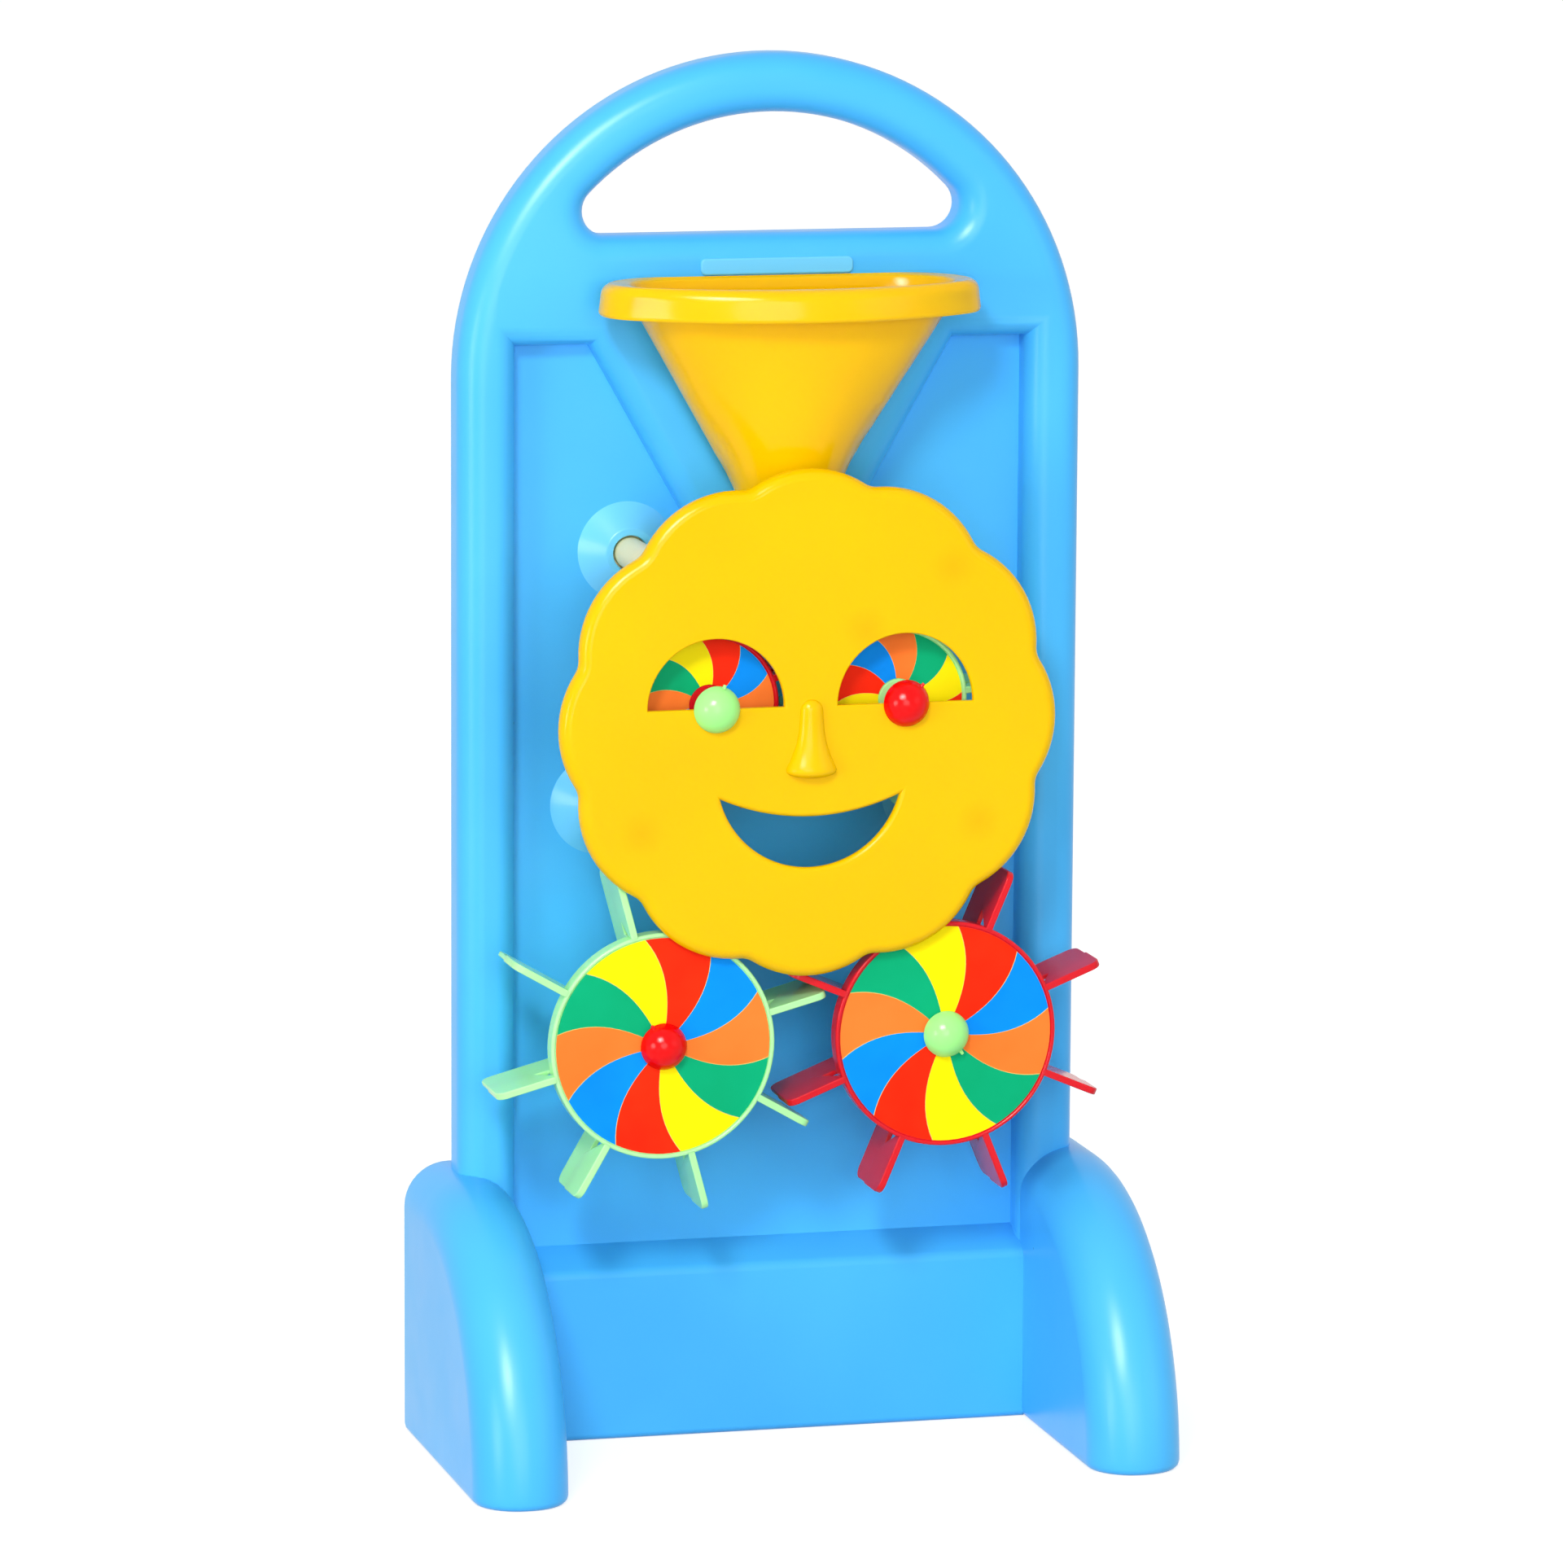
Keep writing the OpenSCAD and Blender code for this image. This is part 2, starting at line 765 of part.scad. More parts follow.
frame_shell();
funnel();
sun_face();
paddle_wheel(-1, wheel_left_turn, wheel_green);  // paddle_wheel_left
paddle_wheel(1, wheel_right_turn, wheel_red);  // paddle_wheel_right
eye_wheel(-1, eye_left_turn, wheel_red);  // eye_wheel_left
eye_wheel(1, eye_right_turn, wheel_green);  // eye_wheel_right
sticker(-wheel_x, wheel_z, wheel_rim_r, wheel_front);  // wheel_sticker_left
sticker(wheel_x, wheel_z, wheel_rim_r, wheel_front);  // wheel_sticker_right
sticker(-eye_x, eye_z, eye_rim_r, eye_front);  // eye_sticker_left
sticker(eye_x, eye_z, eye_rim_r, eye_front);  // eye_sticker_right
wheel_pin(-wheel_x, wheel_z, wheel_front + face_gap, wheel_red);  // wheel_pin_left
wheel_pin(wheel_x, wheel_z, wheel_front + face_gap, head_green);  // wheel_pin_right
wheel_pin(-eye_x, eye_z, sun_front + face_gap, head_green);  // eye_pin_left
wheel_pin(eye_x, eye_z, sun_front + face_gap, wheel_red);  // eye_pin_right
sun_peg(-1, peg_upper);  // sun_peg_upper_left
sun_peg(1, peg_upper);  // sun_peg_upper_right
sun_peg(-1, peg_lower);  // sun_peg_lower_left
sun_peg(1, peg_lower);  // sun_peg_lower_right
funnel_peg(-1);  // funnel_peg_left
funnel_peg(1);  // funnel_peg_right
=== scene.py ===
# %% [markdown]
# # A sand wheel toy
# Sand is poured into the funnel, runs behind the smiling sun and turns two pairs of paddle wheels.
# The imported CAD parts give every place and size. This lesson dresses them: it rounds the blow-moulded
# frame, shapes the thin mouldings, prints the pinwheels and lights the toy like a catalogue picture.
# The first cell loads the parts and moves each part's placing into its own mesh.

# %% Load the imported parts
import math

import bmesh
import bpy
from mathutils import Matrix, Vector


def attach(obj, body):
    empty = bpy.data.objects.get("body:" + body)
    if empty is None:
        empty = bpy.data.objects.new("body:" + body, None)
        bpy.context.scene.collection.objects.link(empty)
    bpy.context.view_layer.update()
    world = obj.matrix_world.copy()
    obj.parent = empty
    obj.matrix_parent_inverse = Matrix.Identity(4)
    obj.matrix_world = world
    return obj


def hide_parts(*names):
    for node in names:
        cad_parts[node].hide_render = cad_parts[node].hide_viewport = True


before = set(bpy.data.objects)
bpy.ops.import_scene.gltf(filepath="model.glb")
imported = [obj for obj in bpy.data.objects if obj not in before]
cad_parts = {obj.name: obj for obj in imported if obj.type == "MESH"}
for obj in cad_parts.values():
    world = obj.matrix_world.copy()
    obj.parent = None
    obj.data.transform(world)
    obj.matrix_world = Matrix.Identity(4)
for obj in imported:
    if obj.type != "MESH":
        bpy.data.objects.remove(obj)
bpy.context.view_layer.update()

# %% [markdown]
# Sizes are written in millimetres, as on a drawing, and `at` turns a drawing place into scene metres.
# A depth is counted from the middle plane of the arched frame towards the viewer. The toy faces -Y,
# so an axis along -Y points at the viewer, and a positive turn about it is counter-clockwise on view.

# %% Places on the drawing
MM = 0.001
MID_PLANE_Y = 44.75
TO_VIEWER = Vector((0, -1, 0))
UPWARDS = Vector((0, 0, 1))


def at(x, depth, z):
    return Vector((x, MID_PLANE_Y - depth, z)) * MM


print("mid-plane:", at(0, 0, 0))

# %% [markdown]
# Most outlines of this toy are straight strokes joined by arcs. Spin sweeps a single vertex round a
# centre and leaves a chain of edges, so a pen that only knows a line and an arc can draw them all.
# A stroke is a point, for a line, or a centre with the degrees to turn and the number of steps.

# %% A pen for outlines
SAME_PLACE = MM / 100


def outline(bm, start, strokes, axis=TO_VIEWER, closed=True):
    known = set(bm.edges)
    first = last = bm.verts.new(start)
    for stroke in strokes:
        if isinstance(stroke, Vector):
            end = bm.verts.new(stroke)
            bm.edges.new((last, end))
            last = end
        else:
            centre, degrees, steps = stroke
            swept = bmesh.ops.spin(bm, geom=[last], cent=centre, axis=axis, angle=math.radians(degrees),
                                   steps=steps, dvec=(0, 0, 0), use_merge=False, use_duplicate=False)
            last = swept["geom_last"][0]
    if closed:
        if (last.co - first.co).length < SAME_PLACE:
            bmesh.ops.weld_verts(bm, targetmap={last: first})
        else:
            bm.edges.new((last, first))
    return [edge for edge in bm.edges if edge not in known]


def verts_in(geometry):
    return [part for part in geometry if isinstance(part, bmesh.types.BMVert)]


def verts_of(edges):
    return list({vert for edge in edges for vert in edge.verts})


def open_edges(bm):
    return sum(not edge.is_manifold for edge in bm.edges)


def thicken(bm, faces, shift):
    grown = bmesh.ops.extrude_face_region(bm, geom=faces)["geom"]
    bmesh.ops.translate(bm, vec=shift, verts=verts_in(grown))
    bmesh.ops.recalc_face_normals(bm, faces=bm.faces)


def prism(start, strokes, shift, axis=TO_VIEWER):
    bm = bmesh.new()
    edges = outline(bm, start, strokes, axis)
    faces = bmesh.ops.contextual_create(bm, geom=edges)["faces"]
    thicken(bm, faces, shift)
    return bm


def lathe(bm, edges, centre, axis, steps):
    """Turns an open profile, whose ends lie on the axis, or a closed one that stays clear of it."""
    bmesh.ops.spin(bm, geom=verts_of(edges) + edges, cent=centre, axis=axis, angle=math.tau, steps=steps,
                   dvec=(0, 0, 0), use_merge=True, use_duplicate=False)
    bmesh.ops.remove_doubles(bm, verts=bm.verts, dist=SAME_PLACE / 10)
    bmesh.ops.recalc_face_normals(bm, faces=bm.faces)


print("pen ready")

# %% [markdown]
# Every finished piece, its faces already turned outwards, goes through one door: it gets its materials, it is
# shaded smooth with sharp creases kept and hung on an empty for the CAD body it rides on, and the CAD nodes
# it stands for are hidden.

# %% From a bmesh to a piece of the toy
CREASE_ANGLE = math.radians(38)


def to_object(name, bm):
    mesh = bpy.data.meshes.new(name)
    bm.to_mesh(mesh)
    bm.free()
    piece = bpy.data.objects.new(name, mesh)
    bpy.context.scene.collection.objects.link(piece)
    return piece


def finish_piece(piece, body, materials, nodes):
    for material in materials:
        piece.data.materials.append(material)
    piece.data.shade_smooth()
    piece.data.set_sharp_from_angle(angle=CREASE_ANGLE)
    normals = piece.modifiers.new("flat faces stay flat", "WEIGHTED_NORMAL")
    normals.keep_sharp = True
    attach(piece, body)
    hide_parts(*nodes)
    print(piece.name, "faces:", len(piece.data.polygons), "rides on", body)
    return piece


print("pieces can be finished")

# %% [markdown]
# Moulded plastic is never one flat colour: the melt is a little cloudy, the gloss varies, and the skin
# has a fine grain. One recipe makes all the plastics of the toy. Noise on object coordinates shifts the
# colour and the roughness, finer noise gives the grain, and a slow noise lets thick walls wave gently.
# A soft plastic also lets light in, so each finish may have some light that scatters under its skin.
# The frame's skin has a few dark specks. The sun has shallow sink dents where sockets stand behind it;
# they are not in its shape, so their shade is painted on as faint darker spots.

# %% Plastic finishes
SUN_FRONT = 67
SUN_PEGS = [(53.5, 334.1), (-53.5, 334.1), (63.8, 239.3), (-63.8, 239.3)]
BROW_DENT_SHADE = (20.5, 312)
# Faint darker spots on the sun: painted shade of shallow sink dents, three over sockets and one above the
# eyes.
SINK_DENT_SHADES = [at(x, SUN_FRONT, z) for x, z in (SUN_PEGS[0], SUN_PEGS[2], SUN_PEGS[3], BROW_DENT_SHADE)]
DENT_SHADE_RADIUS, DENT_SHADE_SHARE, DENT_SHADE_TONE = 9, 0.5, (228, 172, 0)
SPECK_SCALE, SPECK_SHARE, SPECK_CORE, SPECK_EDGE, SPECK_TONE = 30, 0.55, 0.010, 0.016, (30, 70, 120)
WAVE_SCALE, WAVE_STRENGTH, GRAIN_STRENGTH = 14, 0.6, 0.35
PLASTIC_IOR, GLOW_REACH = 1.5, 2.5


def screen(red, green, blue):
    """A colour as read on a screen, from 0 to 255, in the linear values that shaders take."""
    shares = [value / 255 for value in (red, green, blue)]
    linear = [((s + 0.055) / 1.055) ** 2.4 if s > 0.04045 else s / 12.92 for s in shares]
    return (*linear, 1.0)


def noise(tree, place, scale, detail):
    texture = tree.nodes.new("ShaderNodeTexNoise")
    texture.inputs["Scale"].default_value = scale
    texture.inputs["Detail"].default_value = detail
    tree.links.new(place, texture.inputs["Vector"])
    return texture.outputs["Fac"]


def spread(tree, value, low, high, from_low=0.3, from_high=0.7):
    reach = tree.nodes.new("ShaderNodeMapRange")
    tree.links.new(value, reach.inputs["Value"])
    for name, number in (("From Min", from_low), ("From Max", from_high), ("To Min", low), ("To Max", high)):
        reach.inputs[name].default_value = number
    return reach.outputs["Result"]


def blend(tree, share, first, second):
    mix = tree.nodes.new("ShaderNodeMix")
    mix.data_type = "RGBA"
    tree.links.new(share, mix.inputs["Factor"])
    for socket, colour in ((mix.inputs["A"], first), (mix.inputs["B"], second)):
        if isinstance(colour, tuple):
            socket.default_value = colour
        else:
            tree.links.new(colour, socket)
    return mix.outputs["Result"]


def bump(tree, height, distance, strength, below=None):
    relief = tree.nodes.new("ShaderNodeBump")
    relief.inputs["Distance"].default_value = distance
    relief.inputs["Strength"].default_value = strength
    tree.links.new(height, relief.inputs["Height"])
    if below:
        tree.links.new(below, relief.inputs["Normal"])
    return relief.outputs["Normal"]


def plastic(name, colour, deeper, gloss=(0.28, 0.36), cloud=10, grain=700, grain_depth=0.05, wave=0.0,
            glow=0.0, shine=0.22, specks=False, shade_spots=()):
    material = bpy.data.materials.new(name)
    material.use_nodes = True
    tree = material.node_tree
    shader = tree.nodes["Principled BSDF"]
    place = tree.nodes.new("ShaderNodeTexCoord").outputs["Object"]
    clouds = noise(tree, place, cloud, 3)
    tint = blend(tree, spread(tree, clouds, 0, 1), deeper, colour)
    if specks:
        cells = tree.nodes.new("ShaderNodeTexVoronoi")
        cells.inputs["Scale"].default_value = SPECK_SCALE
        tree.links.new(place, cells.inputs["Vector"])
        dot = spread(tree, cells.outputs["Distance"], SPECK_SHARE, 0, SPECK_CORE, SPECK_EDGE)
        tint = blend(tree, dot, tint, screen(*SPECK_TONE))
    # Each spot darkens the colour towards its centre: painted shade of a sink dent.
    for spot in shade_spots:
        span = tree.nodes.new("ShaderNodeVectorMath")
        span.operation = "DISTANCE"
        span.inputs[1].default_value = spot
        tree.links.new(place, span.inputs[0])
        near = spread(tree, span.outputs["Value"], DENT_SHADE_SHARE, 0, 0, DENT_SHADE_RADIUS * MM)
        tint = blend(tree, near, tint, screen(*DENT_SHADE_TONE))
    tree.links.new(tint, shader.inputs["Base Color"])
    tree.links.new(spread(tree, noise(tree, place, cloud * 4, 2), *gloss), shader.inputs["Roughness"])
    relief = None
    if wave:
        relief = bump(tree, noise(tree, place, WAVE_SCALE, 1), wave * MM, WAVE_STRENGTH)
    relief = bump(tree, noise(tree, place, grain, 2), grain_depth * MM, GRAIN_STRENGTH, relief)
    tree.links.new(relief, shader.inputs["Normal"])
    shader.inputs["IOR"].default_value = PLASTIC_IOR
    shader.inputs["Specular IOR Level"].default_value = shine
    if glow:
        shader.inputs["Subsurface Weight"].default_value = glow
        shader.inputs["Subsurface Radius"].default_value = (1.0, 1.0, 1.0)
        shader.inputs["Subsurface Scale"].default_value = GLOW_REACH * MM
    return material


frame_blue = plastic("frame blue", screen(78, 190, 255), screen(70, 183, 254), gloss=(0.28, 0.34), grain=420,
                     grain_depth=0.02, wave=0.3, shine=0.24, specks=True)
# A paler copy of the frame blue for the bosses and the label plate: painted sheen where raised faces catch
# light.
painted_sheen_blue = plastic("painted sheen blue", screen(112, 208, 255), screen(106, 204, 255), gloss=(0.2, 0.26))
sun_yellow = plastic("sun yellow", screen(244, 196, 0), screen(238, 187, 0), gloss=(0.13, 0.18), grain=900,
                     grain_depth=0.02, glow=0.15, shine=0.12, shade_spots=SINK_DENT_SHADES)
funnel_yellow = plastic("funnel yellow", screen(250, 197, 0), screen(246, 189, 0), gloss=(0.13, 0.18),
                        grain_depth=0.02, glow=0.25, shine=0.16)
wheel_green = plastic("wheel green", screen(184, 255, 174), screen(172, 250, 164), gloss=(0.14, 0.2),
                      glow=0.35)
wheel_red = plastic("wheel red", screen(228, 22, 34), screen(210, 14, 32), gloss=(0.14, 0.2), glow=0.2)
pin_green = plastic("pin green", screen(172, 255, 148), screen(160, 250, 140), gloss=(0.12, 0.16), glow=0.3)
pin_red = plastic("pin red", screen(238, 4, 8), screen(228, 2, 6), gloss=(0.12, 0.16), glow=0.2, shine=0.18)
peg_natural = plastic("peg natural", screen(254, 238, 184), screen(248, 228, 170), gloss=(0.4, 0.5), glow=0.3)
plastics = [frame_blue, painted_sheen_blue, sun_yellow, funnel_yellow, wheel_green, wheel_red, pin_green, pin_red,
            peg_natural]
print("plastics:", [material.name for material in plastics])

# %% [markdown]
# The frame is blow-moulded: a tube of hot plastic is blown out against the two halves of a mould. Its
# outer edges come out generously round, while the creases, where the mould reached in, stay sharp. A
# boolean and a bevel could do this, but loops that are drawn again and again at a growing offset give
# the same round edge with clean strips of faces. `quarter_round` lists offset and depth pairs for that.

# %% Loops, strips and fills
ROUND_STEPS = 8


def quarter_round(radius, depth, towards=1):
    """Pairs of offset and depth, from the flat face at this depth to the wall below it."""
    turns = [math.radians(90 * step / ROUND_STEPS) for step in range(ROUND_STEPS + 1)]
    return [(radius * (1 - math.sin(turn)), depth - towards * radius * (1 - math.cos(turn)))
            for turn in turns]


def strips(bm, loops):
    for near, far in zip(loops, loops[1:]):
        bmesh.ops.bridge_loops(bm, edges=near + far)


def fill(bm, *loops):
    edges = [edge for loop in loops for edge in loop]
    bmesh.ops.triangle_fill(bm, edges=edges, use_beauty=True, use_dissolve=False)


def merge(bm, other):
    """Adds another bmesh to this one."""
    carrier = bpy.data.meshes.new("carrier")
    other.to_mesh(carrier)
    other.free()
    bm.from_mesh(carrier)
    bpy.data.meshes.remove(carrier)


print("loops can be bridged and filled")

# %% [markdown]
# The slab is the body of the toy: an arch with a hand hole at the top and a recessed panel in front. It
# could be cut out of a block, but then every round edge would have to be found again. Here each outline
# is a loop: one function draws the arch, one the hole and one the recess, at any offset and depth. The
# arch is so narrow over the hole that its two round edges nearly meet, and the grip feels like a tube.

# %% The arched slab with its hand hole and its recessed panel
HALF_WIDTH, HALF_THICKNESS, ARCH_Z, SLAB_LOW = 119, 13, 399.4, 0.6
HOLE_RADIUS, HOLE_CORNER, BAR_TOP, BAR_LOW = 97, 9, 452, 412
RECESS_HALF, RECESS_LOW, PANEL_DEPTH = 97.3, 55, 0
SHIELD_TOP_HALF, SHIELD_LOW_HALF, SHIELD_DROP, SHIELD_CORNER = 69, 30, 69, 12
EDGE_RADIUS, RECESS_EDGE = 9.4, 8.2
ARCH_STEPS, CORNER_STEPS = 72, 12


def arch_loop(bm, inset, depth):
    reach = HALF_WIDTH - inset
    return outline(bm, at(reach, depth, SLAB_LOW), [
        at(reach, depth, ARCH_Z), (at(0, depth, ARCH_Z), 180, ARCH_STEPS), at(-reach, depth, SLAB_LOW)])


def hole_loop(bm, outset, depth):
    corner_rise = BAR_TOP - ARCH_Z + HOLE_CORNER
    corner_x = math.sqrt((HOLE_RADIUS - HOLE_CORNER) ** 2 - corner_rise ** 2)
    tip = math.degrees(math.atan2(corner_rise, corner_x))
    low = BAR_TOP - outset
    corner_z = BAR_TOP + HOLE_CORNER
    return outline(bm, at(-corner_x, depth, low), [
        at(corner_x, depth, low),
        (at(corner_x, depth, corner_z), 90 + tip, CORNER_STEPS),
        (at(0, depth, ARCH_Z), 180 - 2 * tip, ARCH_STEPS // 2),
        (at(-corner_x, depth, corner_z), 90 + tip, CORNER_STEPS)])


def recess_loop(bm, outset, depth):
    slant = Vector((SHIELD_TOP_HALF - SHIELD_LOW_HALF, SHIELD_DROP)).normalized()
    top_x = SHIELD_TOP_HALF - outset * (1 - slant.x) / slant.y
    corner_x = SHIELD_LOW_HALF - SHIELD_CORNER * (1 - slant.x) / slant.y
    corner_z = BAR_LOW - SHIELD_DROP + SHIELD_CORNER
    side = SHIELD_CORNER - outset
    swing = 90 - math.degrees(math.atan2(slant.x, slant.y))
    high, wide = BAR_LOW + outset, RECESS_HALF + outset
    return outline(bm, at(wide, depth, RECESS_LOW), [
        at(wide, depth, high), at(top_x, depth, high),
        at(corner_x + side * slant.y, depth, corner_z - side * slant.x),
        (at(corner_x, depth, corner_z), -swing, CORNER_STEPS),
        at(-corner_x, depth, corner_z - side),
        (at(-corner_x, depth, corner_z), -swing, CORNER_STEPS),
        at(-top_x, depth, high), at(-wide, depth, high), at(-wide, depth, RECESS_LOW)])


def arched_slab():
    bm = bmesh.new()
    front = quarter_round(EDGE_RADIUS, HALF_THICKNESS)
    back = quarter_round(EDGE_RADIUS, -HALF_THICKNESS, -1)
    around = front + back[::-1]
    arch = [arch_loop(bm, offset, depth) for offset, depth in around]
    hole = [hole_loop(bm, offset, depth) for offset, depth in around]
    inward = quarter_round(RECESS_EDGE, HALF_THICKNESS) + [(0, PANEL_DEPTH)]
    recess = [recess_loop(bm, offset, depth) for offset, depth in inward]
    for loops in (arch, hole, recess):
        strips(bm, loops)
    fill(bm, arch[0], hole[0], recess[0])
    fill(bm, arch[-1], hole[-1])
    fill(bm, recess[-1])
    bmesh.ops.recalc_face_normals(bm, faces=bm.faces)
    return bm


frame_mesh = arched_slab()
print("slab faces:", len(frame_mesh.faces), "open edges:", open_edges(frame_mesh))

# %% [markdown]
# Below the panel a block with a sloping ledge joins two boot-shaped feet. The block ends a little inside
# the slab and the feet, since two faces in one plane would flicker or turn black. A foot is a round-topped
# section that runs forward from the heel and then turns a quarter circle down to the ground, so the
# section is extruded and spun. Only then do the rim on the ground and the heel get their bevels.

# %% The base block and the feet
BASE_FRONT, BASE_BACK, BASE_HEIGHT, LEDGE_TOP, BASE_HALF = 14.3, 12.4, 64.3, 72.4, 99.5
FOOT_INNER, FOOT_WIDTH, FOOT_RADIUS, FOOT_EDGE = 98.5, 35.6, 103, 17
FOOT_AXIS_DEPTH, FOOT_BACK = 12, 25.5
TOE_STEPS, FOOT_EDGE_STEPS = 28, 10
BASE_EDGE, FOOT_RIM, HEEL_EDGE = 2.6, 2.8, 8
BASE_EDGE_STEPS, FOOT_RIM_STEPS, HEEL_EDGE_STEPS = 4, 3, 5
RIM_ANGLE = math.radians(30)


def soften(bm, edges, radius, segments):
    bmesh.ops.bevel(bm, geom=edges, offset=radius * MM, offset_type="OFFSET", segments=segments, profile=0.5,
                    affect="EDGES", material=-1, clamp_overlap=True, loop_slide=True)


def lies_on(edge, axis, value):
    return all(abs(vert.co[axis] - value) < SAME_PLACE for vert in edge.verts)


def base_block():
    side = -BASE_HALF
    bm = prism(at(side, -BASE_BACK, 0), [
        at(side, BASE_FRONT, 0), at(side, BASE_FRONT, BASE_HEIGHT), at(side, PANEL_DEPTH, LEDGE_TOP),
        at(side, -BASE_BACK, LEDGE_TOP)], Vector((2 * BASE_HALF * MM, 0, 0)))
    front_y = at(0, BASE_FRONT, 0).y
    across = [edge for edge in bm.edges if not lies_on(edge, 0, edge.verts[0].co.x)]
    soften(bm, [edge for edge in across if lies_on(edge, 1, front_y)], BASE_EDGE, BASE_EDGE_STEPS)
    return bm


def foot(side):
    bm = bmesh.new()
    inner, outer = FOOT_INNER, FOOT_INNER + FOOT_WIDTH
    shoulder = FOOT_RADIUS - FOOT_EDGE
    profile = outline(bm, at(outer, FOOT_AXIS_DEPTH, 0), [
        at(outer, FOOT_AXIS_DEPTH, shoulder),
        (at(outer - FOOT_EDGE, FOOT_AXIS_DEPTH, shoulder), 90, FOOT_EDGE_STEPS),
        at(inner + FOOT_EDGE, FOOT_AXIS_DEPTH, FOOT_RADIUS),
        (at(inner + FOOT_EDGE, FOOT_AXIS_DEPTH, shoulder), 90, FOOT_EDGE_STEPS),
        at(inner, FOOT_AXIS_DEPTH, 0)], closed=False)
    heel = bmesh.ops.extrude_edge_only(bm, edges=profile)["geom"]
    run = Vector((0, (FOOT_AXIS_DEPTH + FOOT_BACK) * MM, 0))
    bmesh.ops.translate(bm, vec=run, verts=verts_in(heel))
    bmesh.ops.spin(bm, geom=verts_of(profile) + profile, cent=at(0, FOOT_AXIS_DEPTH, 0), axis=(1, 0, 0),
                   angle=math.radians(90), steps=TOE_STEPS, dvec=(0, 0, 0), use_merge=False,
                   use_duplicate=False)
    bmesh.ops.remove_doubles(bm, verts=bm.verts, dist=SAME_PLACE)
    heel_y = at(0, -FOOT_BACK, 0).y
    rim = [edge for edge in bm.edges if edge.is_boundary]
    bmesh.ops.contextual_create(bm, geom=[edge for edge in rim if lies_on(edge, 1, heel_y)])
    bmesh.ops.holes_fill(bm, edges=[edge for edge in bm.edges if edge.is_boundary], sides=0)
    bmesh.ops.recalc_face_normals(bm, faces=bm.faces)
    heel_rim = [edge for edge in bm.edges if lies_on(edge, 1, heel_y) and not lies_on(edge, 2, 0)]
    soften(bm, heel_rim, HEEL_EDGE, HEEL_EDGE_STEPS)
    ground = [edge for edge in bm.edges if lies_on(edge, 2, 0) and edge.calc_face_angle(0) > RIM_ANGLE]
    soften(bm, ground, FOOT_RIM, FOOT_RIM_STEPS)
    if side < 0:
        bmesh.ops.scale(bm, vec=(-1, 1, 1), verts=bm.verts)
        bmesh.ops.reverse_faces(bm, faces=bm.faces)
    return bm


for part in (base_block(), foot(-1), foot(1)):
    merge(frame_mesh, part)
print("with base and feet:", len(frame_mesh.faces), "open edges:", open_edges(frame_mesh))

# %% [markdown]
# Eight conical bosses carry the pins and the pegs, and a bare label plate sits on the cross bar. A boss
# is round, so half of its section is drawn once and turned about its own axis. `section` draws in a
# flat drawing where the first number is the radius and the second the depth. These raised places take the
# frame's second finish, a paler blue that is painted sheen: it stands for the light their flanks catch.

# %% Bosses and the label plate
BOSS_FOOT, BOSS_TOP, BOSS_HEIGHT, BOSS_BURIED = 18.6, 9.4, 7, 1
BOSS_ROUND, CROWN_SHARE, HOLE_ROUND = 1.4, 0.45, 0.5
PIN_HOLE, PEG_HOLE = 4.06, 6.6
WHEEL_Z, EYE_Z = 158.9, 284.2
WHEEL_AXES = {"left": (-53.8, WHEEL_Z), "right": (53.8, WHEEL_Z)}
EYE_AXES = {"left": (-35.8, EYE_Z), "right": (35.8, EYE_Z)}
LABEL_LENGTH, LABEL_HEIGHT, LABEL_PROUD, LABEL_Z = 58, 6.2, 1.2, 440.4
LABEL_EDGE_SHARE, LABEL_STEPS, LABEL_EDGE_STEPS = 0.6, 6, 3
TURN_STEPS, SHEEN_PAINT_FINISH = 64, 1


def section(bm, x, z, points, closed=True):
    """Draws radius and depth points beside an axis that points at the viewer."""
    places = [at(x + radius, depth, z) for radius, depth in points]
    return outline(bm, places[0], places[1:], closed=closed)


def turned(x, z, points, closed=True, steps=TURN_STEPS):
    bm = bmesh.new()
    lathe(bm, section(bm, x, z, points, closed), at(x, 0, z), TO_VIEWER, steps)
    return bm


def round_corner(centre, radius, start, end, steps=4):
    """Points of an arc in a section drawing, from one angle to another."""
    turns = [math.radians(start + (end - start) * step / steps) for step in range(steps + 1)]
    return [(centre[0] + radius * math.cos(turn), centre[1] + radius * math.sin(turn)) for turn in turns]


# Gives every face of a raised place the paler blue, a painted sheen.
def paint_sheen_on(bm):
    for face in bm.faces:
        face.material_index = SHEEN_PAINT_FINISH
    return bm


def boss(x, z, hole):
    slope = math.degrees(math.atan2(BOSS_FOOT - BOSS_TOP, BOSS_HEIGHT))
    crown_centre = (BOSS_TOP - BOSS_ROUND * CROWN_SHARE, BOSS_HEIGHT - BOSS_ROUND)
    crown = round_corner(crown_centre, BOSS_ROUND, 90 - slope, 90)
    lip = round_corner((hole + HOLE_ROUND, BOSS_HEIGHT - HOLE_ROUND), HOLE_ROUND, 90, 180, 3)
    flank = [(BOSS_FOOT, -BOSS_BURIED), (BOSS_FOOT, 0)]
    return paint_sheen_on(turned(x, z, flank + crown + lip + [(hole, -BOSS_BURIED)]))


